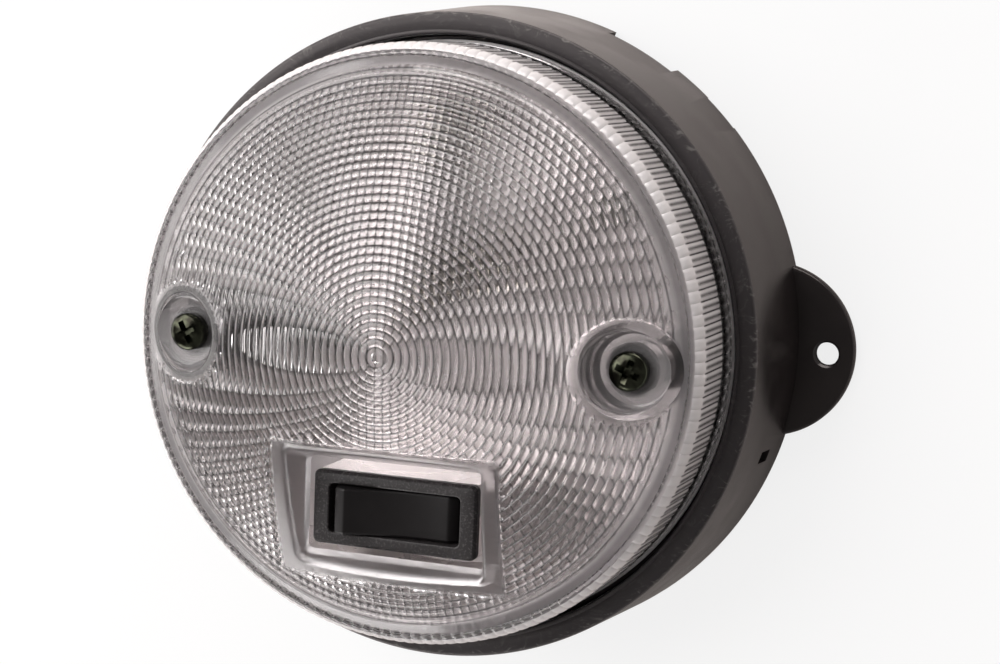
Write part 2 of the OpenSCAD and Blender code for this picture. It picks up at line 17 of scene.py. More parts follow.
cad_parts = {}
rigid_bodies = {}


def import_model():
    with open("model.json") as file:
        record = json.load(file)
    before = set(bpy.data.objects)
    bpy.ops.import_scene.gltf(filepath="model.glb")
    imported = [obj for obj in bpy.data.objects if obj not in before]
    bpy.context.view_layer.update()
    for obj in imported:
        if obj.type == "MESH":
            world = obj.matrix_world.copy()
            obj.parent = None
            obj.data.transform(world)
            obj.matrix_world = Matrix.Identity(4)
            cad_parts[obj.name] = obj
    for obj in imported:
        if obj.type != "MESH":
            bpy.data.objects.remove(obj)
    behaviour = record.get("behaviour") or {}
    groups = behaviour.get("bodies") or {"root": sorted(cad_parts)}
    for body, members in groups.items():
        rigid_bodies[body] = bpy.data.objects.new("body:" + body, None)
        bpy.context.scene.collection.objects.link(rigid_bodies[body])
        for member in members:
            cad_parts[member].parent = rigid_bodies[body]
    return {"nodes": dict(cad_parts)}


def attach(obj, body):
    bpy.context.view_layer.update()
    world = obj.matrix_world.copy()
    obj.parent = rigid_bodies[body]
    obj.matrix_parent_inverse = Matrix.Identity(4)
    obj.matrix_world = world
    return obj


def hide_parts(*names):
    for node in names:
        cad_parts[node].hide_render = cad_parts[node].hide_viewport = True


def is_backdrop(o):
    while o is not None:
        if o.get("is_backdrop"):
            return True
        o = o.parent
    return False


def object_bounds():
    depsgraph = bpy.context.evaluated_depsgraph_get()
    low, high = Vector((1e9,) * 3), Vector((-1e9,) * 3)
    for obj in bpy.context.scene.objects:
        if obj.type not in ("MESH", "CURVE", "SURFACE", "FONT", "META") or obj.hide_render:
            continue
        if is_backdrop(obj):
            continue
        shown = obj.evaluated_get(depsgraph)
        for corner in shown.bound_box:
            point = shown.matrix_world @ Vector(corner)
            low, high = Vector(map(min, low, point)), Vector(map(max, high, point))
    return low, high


def link(name, data):
    """A new object in the scene that carries the given mesh, camera or lamp."""
    made = bpy.data.objects.new(name, data)
    bpy.context.scene.collection.objects.link(made)
    return made


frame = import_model()
cad_nodes = frame["nodes"]
bpy.context.view_layer.update()
cad_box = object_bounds()
MM = 0.001
print("frame:", len(cad_nodes), "nodes, box", [round(v / MM, 1) for v in cad_box[1]])

# %% [markdown]
# ## The camera
# The photograph looks at the light from the front and from its right, so that the wall of the cup
# shows on the right of the lens and is hidden on its left. A camera fitted to the circles of the rims
# gives its place and its three directions. Its focal length is long, because the near and the far
# circles keep almost the same shape.

# %% Camera
FRAME_W = 1000
FOCAL_PX = 1900
AXIS_PX_X = 540
SENSOR = 36.0
camera_place = Vector((128.087, 46.472, 355.142)) * MM
camera_right = Vector((0.94663, 0.04370, -0.31935))
camera_down = Vector((0.08115, -0.99116, 0.10493))
camera_view = camera_right.cross(camera_down).normalized()

camera_data = bpy.data.cameras.new("photo_camera")
camera_data.sensor_fit = "HORIZONTAL"
camera_data.sensor_width = SENSOR
camera_data.lens = FOCAL_PX / FRAME_W * SENSOR
camera_data.shift_x = -(AXIS_PX_X - FRAME_W / 2) / FRAME_W
camera_data.clip_start = 0.01
camera = link("photo_camera", camera_data)
turn = Matrix((camera_right, -camera_down, -camera_view)).transposed()
camera.matrix_world = Matrix.Translation(camera_place) @ turn.to_4x4()
bpy.context.scene.camera = camera
print("camera looks along", [round(v, 3) for v in camera_view])

# %% [markdown]
# ## A shell builder
# A moulding is one closed skin. Most of it is made of rows of points that run round it, with the
# space between two rows filled by quads. Where two rows have different counts, a zip of triangles
# joins them. The builder below keeps the points and faces of one such skin.

# %% Shell builder
def close_skin(name, mesh, sharp, merge=0.0):
    """Merges doubles, turns the faces outwards and reports how well the skin is closed."""
    work = bmesh.new()
    work.from_mesh(mesh)
    if merge:
        bmesh.ops.remove_doubles(work, verts=work.verts, dist=merge * MM)
        bmesh.ops.dissolve_degenerate(work, edges=work.edges, dist=merge * MM / 2)
    bmesh.ops.recalc_face_normals(work, faces=work.faces)
    open_edges = sum(1 for e in work.edges if len(e.link_faces) != 2)
    work.to_mesh(mesh)
    work.free()
    mesh.shade_smooth()
    mesh.set_sharp_from_angle(angle=math.radians(sharp))
    print(f"{name}: {len(mesh.polygons)} faces, open edges {open_edges}")


CORNER_STEPS = 6


class Shell:
    """The points and faces of one closed skin, in millimetres."""

    def __init__(self):
        self.points = []
        self.faces = []

    def row(self, points):
        start = len(self.points)
        self.points.extend((float(x), float(y), float(z)) for x, y, z in points)
        return list(range(start, len(self.points)))

    def join(self, a, b):
        for i in range(len(a)):
            j = (i + 1) % len(a)
            self.faces.append((a[i], a[j], b[j], b[i]))

    def rows(self, rows):
        made = [self.row(rows[0])]
        for points in rows[1:]:
            made.append(self.row(points))
            self.join(made[-2], made[-1])
        return made

    def zip(self, a, b):
        """Joins two rows of different counts with triangles."""
        i = j = 0
        while i < len(a) or j < len(b):
            ai, bj = a[i % len(a)], b[j % len(b)]
            if j >= len(b) or (i < len(a) and (i + 1) / len(a) <= (j + 1) / len(b)):
                self.faces.append((ai, a[(i + 1) % len(a)], bj))
                i += 1
            else:
                self.faces.append((ai, b[(j + 1) % len(b)], bj))
                j += 1

    def cap(self, row):
        self.faces.append(tuple(row))

    def piece(self, name, sharp=35):
        mesh = bpy.data.meshes.new(name)
        mesh.from_pydata((np.array(self.points) * MM).tolist(), [], self.faces)
        close_skin(name, mesh, sharp)
        return link(name, mesh)


def capped(name, rows):
    """A closed piece from a stack of rows, with the first and the last one as its ends."""
    shell = Shell()
    made = shell.rows(rows)
    shell.cap(made[0])
    shell.cap(made[-1])
    return shell.piece(name)


def circle_row(radius, z, count, centre=(0.0, 0.0)):
    angles = np.arange(count) * 2 * math.pi / count
    return [(centre[0] + radius * math.cos(a), centre[1] + radius * math.sin(a), z) for a in angles]


def rounded_rect(half_w, half_h, radius, centre_y, side_step=0.7, base=None):
    """Points round a rectangle with round corners. base gives the sizes that set the counts."""
    base_w, base_h = base or (half_w, half_h)
    count_x = max(2, int(2 * base_w / side_step))
    count_y = max(2, int(2 * base_h / side_step))
    points = []
    corners = ((1, 1, 0, -1, 0), (-1, 1, 90, 0, -1), (-1, -1, 180, 1, 0), (1, -1, 270, 0, 1))
    for sx, sy, start, across, up in corners:
        cx, cy = sx * (half_w - radius), sy * (half_h - radius)
        for k in range(CORNER_STEPS + 1):
            a = math.radians(start + 90 * k / CORNER_STEPS)
            points.append((cx + radius * math.cos(a), centre_y + cy + radius * math.sin(a)))
        count = count_x if across else count_y
        run = 2 * (half_w - radius) if across else 2 * (half_h - radius)
        x0, y0 = points[-1]
        for k in range(1, count):
            points.append((x0 + across * run * k / count, y0 + up * run * k / count))
    return points


# %% [markdown]
# ## The lens: its measures
# The lens is the piece that makes this light what it is. Concentric rings stand on its outer face
# and straight flutes run across its inner face, so that every patch of it is a small pillow that
# breaks up the view of the bulb. A height for each point of the plan says where the outer and the
# inner face are, and everything else follows from the plan.

# %% Lens measures and heights
FACE_R, FACE_Z, DOME_H, LENS_T = 52.6, 43.7, 13.7, 2.2
DOME_R = (FACE_R ** 2 + DOME_H ** 2) / (2 * DOME_H)
DOME_Z = FACE_Z + DOME_H - DOME_R
DISC_R, RING_PITCH, RING_COUNT = 1.85, 1.45, 33
RING_EDGE = math.radians(41)
RING_ARC_R = RING_PITCH / 2 / math.sin(RING_EDGE)
FLUTE_PITCH, FLUTE_RISE, FLUTE_END_R = 1.5, 0.14, 49.9
WINDOW_Y, WINDOW_W, WINDOW_H, WINDOW_ROUND, WELL_T = -29.4, 21.7, 12.8, 1.5, 2.2
SCREW_X, RECESS_R, RECESS_BORDER, RECESS_Z = 42.1, 7.15, 1.9, 45.4
STEP_W = 0.3


def dome(r, drop=0.0):
    return DOME_Z + np.sqrt((DOME_R - drop) ** 2 - np.asarray(r, float) ** 2)


def window_gap(x, y):
    """Distance from the border round the window, negative inside it."""
    qx = np.abs(x) - WINDOW_W + WINDOW_ROUND
    qy = np.abs(y - WINDOW_Y) - WINDOW_H + WINDOW_ROUND
    outside_it = np.hypot(np.maximum(qx, 0), np.maximum(qy, 0))
    return outside_it + np.minimum(np.maximum(qx, qy), 0) - WINDOW_ROUND


def recess_gap(x, y):
    return np.hypot(np.abs(x) - SCREW_X, y) - RECESS_R - RECESS_BORDER


def border_gap(x, y):
    """Distance from the smooth borders round the window and the screw recesses."""
    return np.minimum(window_gap(x, y), recess_gap(x, y))


def outer_height(x, y):
    """The dome with a ring of circular section on every pitch, fading out at the borders."""
    r = np.hypot(x, y)
    turn = (r - DISC_R) / RING_PITCH
    away = (turn - np.floor(turn) - 0.5) * RING_PITCH
    ring = np.sqrt(RING_ARC_R ** 2 - away ** 2) - RING_ARC_R * math.cos(RING_EDGE)
    ring = np.where((turn > 0) & (turn < RING_COUNT), ring, 0)
    return dome(r) + ring * np.clip(border_gap(x, y) / STEP_W, 0, 1)


def flute_axes(x):
    """The stretches of a flute's axis at x: inside the pattern, outside the borders."""
    half = FLUTE_PITCH / 2
    edge = abs(x) + half
    if edge >= FLUTE_END_R:
        return []
    top = math.sqrt(FLUTE_END_R ** 2 - edge ** 2)
    spans = [(-top, top)]
    holes = []
    if abs(x) - half < WINDOW_W:
        holes.append((WINDOW_Y - WINDOW_H, WINDOW_Y + WINDOW_H + WELL_T / 2))
    reach = RECESS_R + RECESS_BORDER
    beside = max(0.0, abs(abs(x) - SCREW_X) - half)
    if beside < reach:
        tall = math.sqrt(reach ** 2 - beside ** 2)
        holes.append((-tall, tall))
    for low, high in holes:
        spans = [s for a, b in spans for s in ((a, min(b, low)), (max(a, high), b)) if s[1] > s[0]]
    return [(a + half, b - half) for a, b in spans if b - a > 2.2 * half]


FLUTE_LAST = int(FLUTE_END_R / FLUTE_PITCH)
FLUTES = {i: flute_axes(i * FLUTE_PITCH) for i in range(-FLUTE_LAST - 1, FLUTE_LAST + 2)}


def inner_height(x, y):
    """The inner face of the dome, with a round-ended rib hanging along each flute's axis."""
    x, y = np.asarray(x, float), np.asarray(y, float)
    index = np.rint(x / FLUTE_PITCH).astype(int)
    across = x - index * FLUTE_PITCH
    # A whole pitch away from every axis there is no rib
    away = np.full(len(x), FLUTE_PITCH)
    for i, axes in FLUTES.items():
        here = index == i
        for low, high in axes:
            along = np.maximum(np.maximum(low - y[here], y[here] - high), 0)
            away[here] = np.minimum(away[here], np.hypot(across[here], along))
    rib = np.maximum(0, 1 - (away / (FLUTE_PITCH / 2)) ** 2)
    return dome(np.hypot(x, y), LENS_T) - FLUTE_RISE * rib


print("dome radius", round(DOME_R, 2), "flutes", sum(len(a) for a in FLUTES.values()))

# %% [markdown]
# ## The lens: filling a face
# A face of the lens is a disc with holes for the window and the screws. Its triangles have to follow
# the rings and flutes, or their sharp valleys would turn ragged. A constrained triangulation does
# that: it is given the borders and every ring or flute line as edges that must stay.

# %% Face filling
def split_line(points, keep, closed):
    """Cuts a line into the runs of points that are kept."""
    runs, run = [], []
    for p, k in zip(points, keep):
        if k:
            run.append(p)
        elif run:
            runs.append((run, False))
            run = []
    if run:
        runs.append((run, False))
    if closed and len(runs) == 1 and len(runs[0][0]) == len(points):
        return [(runs[0][0], True)]
    if closed and len(runs) > 1 and keep[0] and keep[-1]:
        runs[0] = (runs[-1][0] + runs[0][0], False)
        runs.pop()
    return runs


def in_polygon(x, y, polygon):
    inside = np.zeros(len(x), bool)
    for (x0, y0), (x1, y1) in zip(polygon, polygon[1:] + polygon[:1]):
        if y0 != y1:
            inside ^= ((y0 > y) != (y1 > y)) & (x < (x1 - x0) * (y - y0) / (y1 - y0) + x0)
    return inside


def fill_face(shell, outline, holes, lines, height):
    """Triangulates the plan inside outline and outside holes, keeping every line as edges."""
    plan, owner, edges = [], [], []
    for row in [outline] + holes:
        start, count = len(plan), len(row)
        plan += [Vector(shell.points[i][:2]) for i in row]
        owner += row
        edges += [(start + k, start + (k + 1) % count) for k in range(count)]
    for points, closed in lines:
        start, count = len(plan), len(points)
        plan += [Vector(p) for p in points]
        owner += [None] * count
        edges += [(start + k, start + (k + 1) % count) for k in range(count if closed else count - 1)]
    found, _, faces, sources, _, _ = delaunay_2d_cdt(plan, edges, [], 0, 1e-8, True)
    x = np.array([p[0] for p in found])
    y = np.array([p[1] for p in found])
    faces = np.array([f for f in faces if len(f) == 3])
    mid_x, mid_y = x[faces].mean(1), y[faces].mean(1)
    wanted = np.ones(len(faces), bool)
    for row in holes:
        wanted &= ~in_polygon(mid_x, mid_y, [shell.points[i][:2] for i in row])
    z = height(x, y)
    place = []
    for k, source in enumerate(sources):
        known = [owner[s] for s in source if owner[s] is not None]
        place.append(known[0] if known else shell.row([(x[k], y[k], z[k])])[0])
    shell.faces.extend(tuple(place[i] for i in f) for f in faces[wanted])


# %% [markdown]
# ## The lens: window, screw recesses and skirt
# The window's walls lean outwards from a foot that surrounds the switch, and turn over into the dome
# with a small round. Each screw sits in a cylindrical recess, above a boss that reaches down over a
# post. The skirt carries 166 short flutes that end in a rounded shoulder under the face. Its rows
# have six points to a flute, so each flute is a small convex rib with a sharp valley.

# %% Window rows
FOOT_W, FOOT_H, FOOT_Z, WELL_RISE = 17.4, 8.6, 45.0, 12.0
SIDE_SLOPE, TOP_SLOPE, FOOT_SLOPE = (math.radians(a) for a in (8, 16, 20))
CREST_ROUND = 0.9


def well_outlines(grow):
    """The window's outline at its foot and at a height WELL_RISE above it."""
    base = (FOOT_W, FOOT_H)
    side = WELL_RISE * math.tan(SIDE_SLOPE)
    top = WELL_RISE * math.tan(TOP_SLOPE)
    foot = WELL_RISE * math.tan(FOOT_SLOPE)
    low = rounded_rect(FOOT_W + grow, FOOT_H + grow, 1 + grow, WINDOW_Y, base=base)
    high = rounded_rect(FOOT_W + grow + side, FOOT_H + grow + (top + foot) / 2, 1.4 + grow,
                        WINDOW_Y + (top - foot) / 2, base=base)
    return np.array(low), np.array(high)


def well_at(outlines, z):
    share = ((np.asarray(z) - FOOT_Z) / WELL_RISE).reshape(-1, 1)
    return outlines[0] + (outlines[1] - outlines[0]) * share


def well_meets_dome(outlines, drop):
    low = np.full(len(outlines[0]), FOOT_Z)
    high = np.full(len(outlines[0]), FOOT_Z + WELL_RISE)
    for _ in range(40):
        middle = (low + high) / 2
        plan = well_at(outlines, middle)
        under = middle < dome(np.hypot(plan[:, 0], plan[:, 1]), drop)
        low, high = np.where(under, middle, low), np.where(under, high, middle)
    return low


def bend(a, corner, b, steps):
    """Rows that turn smoothly from a to b, drawn towards the corner between them."""
    shares = [k / steps for k in range(steps + 1)]
    return [(1 - t) ** 2 * a + 2 * t * (1 - t) * corner + t * t * b for t in shares]


def with_z(plan, z):
    return np.column_stack([plan, np.broadcast_to(z, len(plan))])


lens = Shell()
inner_wall = well_outlines(0)
crest_z = well_meets_dome(inner_wall, 0)
crest = with_z(well_at(inner_wall, crest_z), crest_z)
below = with_z(well_at(inner_wall, crest_z - CREST_ROUND), crest_z - CREST_ROUND)
beyond_plan = well_at(well_outlines(CREST_ROUND), crest_z)
beyond = with_z(beyond_plan, dome(np.hypot(beyond_plan[:, 0], beyond_plan[:, 1])))
half_z = (crest_z - CREST_ROUND + FOOT_Z) / 2
wall_rows = bend(beyond, crest, below, 5)
wall_rows += [with_z(well_at(inner_wall, half_z), half_z), with_z(inner_wall[0], FOOT_Z)]
outer_wall = well_outlines(WELL_T)
under_z = well_meets_dome(outer_wall, LENS_T)
wall_rows += [with_z(outer_wall[0], FOOT_Z), with_z(well_at(outer_wall, under_z), under_z)]
well_rows = lens.rows(wall_rows)
print("window crest from z", round(crest_z.min(), 1), "to", round(crest_z.max(), 1))

# %% Screw recess rows
POST_SOCKET_R, BOSS_R, BOSS_Z, SHANK_HOLE_R = 4.9, 8.45, 36.4, 2.05
RECESS_STEPS = 96


def recess_rows(side):
    angle = np.arange(RECESS_STEPS) * 2 * math.pi / RECESS_STEPS
    cos, sin = np.cos(angle), np.sin(angle)

    def ring(radius, z):
        plan = np.column_stack([side * SCREW_X + radius * cos, radius * sin])
        if callable(z):
            z = z(np.hypot(plan[:, 0], plan[:, 1]))
        return with_z(plan, z)

    tall = ring(RECESS_R, dome)[:, 2] - RECESS_Z
    lip = np.minimum(0.8, 0.2 * tall)
    foot = np.minimum(3.3, 0.75 * tall)
    rows = bend(ring(RECESS_R + lip, dome), ring(RECESS_R, dome), ring(RECESS_R, RECESS_Z + tall - lip), 4)
    rows += bend(ring(RECESS_R, RECESS_Z + foot), ring(RECESS_R, RECESS_Z),
                 ring(RECESS_R - foot, RECESS_Z), 7)
    rows += [ring(SHANK_HOLE_R, RECESS_Z), ring(SHANK_HOLE_R, RECESS_Z - LENS_T)]
    rows += [ring(POST_SOCKET_R, RECESS_Z - LENS_T), ring(POST_SOCKET_R, BOSS_Z), ring(BOSS_R, BOSS_Z)]
    rows += [ring(BOSS_R, lambda r: dome(r, LENS_T))]
    return rows


recesses = [lens.rows(recess_rows(side)) for side in (-1, 1)]
print("screw recesses:", len(recesses[0]), "rows of", RECESS_STEPS, "points on each side")

# %% Skirt rows
SKIRT_FLUTES, FLUTE_POINTS, SKIRT_DEPTH = 166, 6, 0.17
FACE_EDGE_R, SHOULDER_R, SHOULDER_Z = 51.9, 54.42, 41.4
BASE_R, BASE_Z, FLUTE_FOOT_Z = 55.0, 24.5, 30.2


def skirt_r(z):
    return SHOULDER_R + (SHOULDER_Z - z) * (BASE_R - SHOULDER_R) / (SHOULDER_Z - BASE_Z)


def skirt_row(r, z, share, normal):
    """One row round the skirt, with a share of the flutes' depth taken off along the normal."""
    count = SKIRT_FLUTES * FLUTE_POINTS
    angle = np.arange(count) * 2 * math.pi / count
    u = (np.arange(count) % FLUTE_POINTS) / FLUTE_POINTS
    power = 2 if normal[0] < 0.2 else 4
    depth = SKIRT_DEPTH * share * (2 * u - 1) ** power
    radius = r - depth * normal[0]
    return np.column_stack([radius * np.cos(angle), radius * np.sin(angle), z - depth * normal[1]])


# Radius, height, share of the flutes' depth and normal of each row, from the face down
SHOULDER = [
    (FACE_EDGE_R, float(dome(FACE_EDGE_R)), 0, (0, 1)), (51.98, 44.32, 1.6, (-0.9, 0.4)),
    (52.15, 44.44, 1.6, (-0.5, 0.8)), (52.5, 44.38, 1.2, (0.1, 0.98)), (53.0, 44.1, 1, (0.4, 0.9)),
    (53.5, 43.6, 1, (0.6, 0.8)), (53.95, 42.95, 1, (0.75, 0.66)), (54.25, 42.2, 1, (0.9, 0.43)),
    (SHOULDER_R, SHOULDER_Z, 1, (0.98, 0.2)),
]
SKIRT = [(skirt_r(z), z, share, (1, 0)) for z, share in
         ((40.6, 1), (37, 1), (33, 1), (31.3, 1), (30.8, 0.8), (30.4, 0.3), (FLUTE_FOOT_Z, 0), (24.7, 0))]
outside = lens.rows([skirt_row(*row) for row in SHOULDER + SKIRT])
inner_count = 2 * SKIRT_FLUTES
inner_top_r = SHOULDER_R - LENS_T
inner_wall_r = np.interp((37.0, 31.0), (BASE_Z, 37.0), (BASE_R - LENS_T, inner_top_r + 0.15))
inside_rows = [(inner_top_r, dome(inner_top_r, LENS_T)), (inner_wall_r[0], 37.0), (inner_wall_r[1], 31.0),
               (BASE_R - LENS_T, BASE_Z)]
inside = lens.rows([circle_row(r, z, inner_count) for r, z in inside_rows])
base_edge = lens.row(skirt_row(BASE_R - 0.15, BASE_Z, 0, (1, 0)))
lens.join(outside[-1], base_edge)
lens.zip(inside[-1], base_edge)
print("skirt:", len(outside), "rows outside and", len(inside), "inside")

# %% [markdown]
# ## The lens: its two faces
# Both faces are filled with triangles that follow their own lines: circles on the outer one, straight
# lines with round ends on the inner one. Each ring and each flute has six steps across, which is
# enough for its round section to bend the light smoothly. Around the window and the recesses the
# pattern stops at a smooth border, and a small pip stands in the middle where the plastic came in.

# %% Outer face
RING_STEPS, RING_POINT_GAP, LEAST_POINTS = 6, 1.0, 40
PIP_R, PIP_WALL, PIP_DEPTH = 0.95, 0.12, 0.7
BORDER_POINT_GAP = 0.24
BAND_R = [50.6, 51.3]


def plan_circle(r, point_gap, least=0, centre_x=0.0):
    count = max(least, int(2 * math.pi * r / point_gap))
    return [(x, y) for x, y, _ in circle_row(r, 0, count, (centre_x, 0.0))]


lines = []
radii = [DISC_R + (k / RING_STEPS) * RING_PITCH for k in range(RING_COUNT * RING_STEPS + 1)]
for r in radii + BAND_R:
    points = plan_circle(r, RING_POINT_GAP, LEAST_POINTS)
    x, y = np.array(points).T
    lines += split_line(points, border_gap(x, y) > STEP_W + BORDER_POINT_GAP / 2, True)
for gap in (0.0, STEP_W):
    lines.append((rounded_rect(WINDOW_W + gap, WINDOW_H + gap, WINDOW_ROUND + gap, WINDOW_Y,
                               side_step=BORDER_POINT_GAP), True))
    lines += [(plan_circle(RECESS_R + RECESS_BORDER + gap, BORDER_POINT_GAP, centre_x=side * SCREW_X), True)
              for side in (-1, 1)]
lines += [(plan_circle(r, RING_POINT_GAP, LEAST_POINTS), True) for r in (PIP_R, PIP_R - PIP_WALL)]


def outer_with_pip(x, y):
    r = np.hypot(x, y)
    return outer_height(x, y) - np.clip((PIP_R - r) / PIP_WALL, 0, 1) * PIP_DEPTH


fill_face(lens, outside[0], [well_rows[0]] + [rows[0] for rows in recesses], lines, outer_with_pip)
print("outer face:", len(lines), "lines kept as edges")

# %% Inner face
FLUTE_STEPS, FLUTE_POINT_GAP = 6, 1.6
END_SHARES, END_POINTS = (1.0, 0.66, 0.33), 9


def joined(spans):
    """The spans in order, with those that touch made into one."""
    merged = []
    for low, high in sorted(spans):
        if merged and low <= merged[-1][1]:
            merged[-1] = (merged[-1][0], max(high, merged[-1][1]))
        else:
            merged.append((low, high))
    return merged


def line_along(x, low, high):
    count = max(2, int((high - low) / FLUTE_POINT_GAP) + 1)
    return [(x, low + (high - low) * n / count) for n in range(count + 1)]


def round_end(x, end, way, radius):
    return [(x + radius * math.cos(a), end + way * radius * math.sin(a))
            for a in np.linspace(0, math.pi, END_POINTS)]


lines = []
half = FLUTE_PITCH / 2
for i, axes in FLUTES.items():
    flute_x = i * FLUTE_PITCH
    # Two neighbours share the valley between them, so it is as long as both together
    lines += [(line_along(flute_x - half, *span), False) for span in joined(axes + FLUTES.get(i - 1, []))]
    for k in range(1, FLUTE_STEPS):
        dx = -half + k * FLUTE_PITCH / FLUTE_STEPS
        reach = math.sqrt(half ** 2 - dx ** 2)
        lines += [(line_along(flute_x + dx, low - reach, high + reach), False) for low, high in axes]
    for low, high in axes:
        for end, way in ((low, -1), (high, 1)):
            lines += [(round_end(flute_x, end, way, share * half), False) for share in END_SHARES]
fill_face(lens, inside[0], [well_rows[-1]] + [rows[-1] for rows in recesses], lines, inner_height)
lens_piece = lens.piece("lens_moulding", sharp=28)

# %% [markdown]
# ## Cutting and joining solids
# Holes, slots and lugs are easiest as Boolean operations: a plain solid is joined to the moulding or
# cut from it, as the steel of the mould would do. The exact solver keeps the skin closed, and the
# helper applies each step at once, so that only a plain mesh is left.

# %% Boolean helpers
def settle(piece):
    """Turns a piece and its modifiers into a plain mesh."""
    graph = bpy.context.evaluated_depsgraph_get()
    mesh = bpy.data.meshes.new_from_object(piece.evaluated_get(graph))
    old = piece.data
    piece.modifiers.clear()
    piece.data = mesh
    bpy.data.meshes.remove(old)


def combine(piece, tools, operation):
    for tool in tools:
        step = piece.modifiers.new("step", "BOOLEAN")
        step.operation = operation
        step.solver = "EXACT"
        step.object = tool
        settle(piece)
        mesh = tool.data
        bpy.data.objects.remove(tool)
        bpy.data.meshes.remove(mesh)


def finish_mesh(piece, sharp=30, merge=0.004):
    close_skin(piece.name, piece.data, sharp, merge)


def turned(name, profile, count, centre=(0.0, 0.0)):
    """A solid turned about a vertical axis. Its profile runs from one end of the axis to the other."""
    return capped(name, [circle_row(r, z, count, centre) for r, z in profile])


def block(name, low, high):
    """A box between two corners, used as a tool."""
    plan = ((low[0], low[1]), (high[0], low[1]), (high[0], high[1]), (low[0], high[1]))
    return capped(name, [[(x, y, z) for x, y in plan] for z in (low[2], high[2])])


# %% [markdown]
# ## The housing
# The cup is black plastic. Seen from outside it is a drafted wall under a flat ring, with a small
# bead at the ring's inner edge and a broad round at its outer one, where the plastic is scuffed.
# A profile turned about the axis gives all of this, and Booleans add what isn't round.

# %% Housing profile
REAR_R, RING_R, RING_Z, WALL, PLATE_Z, SEAT_Z = 63.0, 60.25, 28.5, 2.2, 9.0, 23.0
COLLAR_R, COLLAR_Z, RING_IN_R, LATHE_STEPS = 52.3, 31.0, 56.2, 288


def wall_r(z):
    return REAR_R + (RING_R - REAR_R) * z / RING_Z


def round_corner(corner, start, end, steps=4):
    a, c, b = (np.array(p, float) for p in (start, corner, end))
    return [tuple(p) for p in bend(a, c, b, steps)]


bead = 0.45
profile = [(6.0, PLATE_Z + WALL)]
profile += round_corner((COLLAR_R - WALL, PLATE_Z + WALL), (49.3, PLATE_Z + WALL), (COLLAR_R - WALL, 12.0))
profile += round_corner((COLLAR_R - WALL, COLLAR_Z), (COLLAR_R - WALL, 30.5), (50.6, COLLAR_Z))
profile += round_corner((COLLAR_R, COLLAR_Z), (51.8, COLLAR_Z), (COLLAR_R, 30.5))
profile += round_corner((COLLAR_R, SEAT_Z), (COLLAR_R, 23.4), (52.7, SEAT_Z), 2)
profile += round_corner((RING_IN_R, SEAT_Z), (55.8, SEAT_Z), (RING_IN_R, 23.4), 2)
profile += round_corner((RING_IN_R, RING_Z), (RING_IN_R, RING_Z - bead), (RING_IN_R + bead, RING_Z))
profile += round_corner((RING_IN_R + 2 * bead, RING_Z), (RING_IN_R + bead, RING_Z), (57.05, 28.28), 3)
profile += [(57.2, 28.3), (57.4, 28.42), (58.9, 28.45)]
profile += round_corner((RING_R, RING_Z), (59.35, 28.42), (wall_r(27.6), 27.6), 7)
profile += [(wall_r(14), 14.0)]
profile += round_corner((REAR_R, 0), (wall_r(0.35), 0.35), (REAR_R - 0.35, 0), 3)
profile += round_corner((REAR_R - WALL, 0), (REAR_R - WALL + 0.3, 0), (wall_r(0.3) - WALL, 0.3), 2)
profile += round_corner((wall_r(20.8) - WALL, 20.8), (wall_r(20.0) - WALL, 20.0), (58.0, 20.8), 3)
profile += round_corner((COLLAR_R, 20.8), (53.1, 20.8), (COLLAR_R, 20.0), 3)
profile += round_corner((COLLAR_R, PLATE_Z), (COLLAR_R, 9.4), (51.9, PLATE_Z), 2)
profile += [(6.0, PLATE_Z)]
housing = turned("housing_moulding", profile, LATHE_STEPS)

# %% [markdown]
# ## The housing: ears, posts and cuts
# The two ears are discs that the wall cuts short, each with a hole that widens at both ends. Inside
# stand the posts for the screws. The rear rim has a notch for the cable and two shallow reliefs, and
# the wall has a drain hole. All of these are plain solids that Booleans join or cut.

# %% Housing lugs and posts
EAR_X, EAR_R, EAR_T, EAR_INNER_R, FIXING_X, FIXING_R, FLARE_R = 56.7, 16.6, 2.5, 61.9, 68.1, 2.2, 2.6
POST_R, POST_TOP, SMALL_POST_R, SMALL_POST_TOP = 4.6, 43.2, 3.5, 18.0
REFLECTOR_SCREWS = ((-28.0, 24.0), (28.0, 24.0))
ear_profile = [(EAR_R - 0.25, 0.0), (EAR_R, 0.25), (EAR_R, 1.75), (EAR_R - 0.12, 2.15), (EAR_R - 0.4, 2.4),
               (EAR_R - 0.8, EAR_T)]
for side in (-1, 1):
    ear = turned("ear", ear_profile, 120, (side * EAR_X, 0.0))
    inner_disc = turned("inner_disc", [(EAR_INNER_R, -1.0), (EAR_INNER_R, 4.0)], 144)
    hole_profile = [(FLARE_R, -1.0), (FLARE_R, 0.0), (FIXING_R, 0.4), (FIXING_R, 2.1), (FLARE_R, EAR_T),
                    (FLARE_R, 4.0)]
    hole = turned("hole", hole_profile, 40, (side * FIXING_X, 0.0))
    combine(ear, [inner_disc, hole], "DIFFERENCE")
    combine(housing, [ear], "UNION")
    post = turned("post", [(POST_R, PLATE_Z + 1), (POST_R, POST_TOP - 0.3), (POST_R - 0.3, POST_TOP)],
                  40, (side * SCREW_X, 0.0))
    combine(housing, [post], "UNION")
for place in REFLECTOR_SCREWS:
    post = turned("post", [(SMALL_POST_R, PLATE_Z + 1), (SMALL_POST_R, SMALL_POST_TOP)], 32, place)
    combine(housing, [post], "UNION")

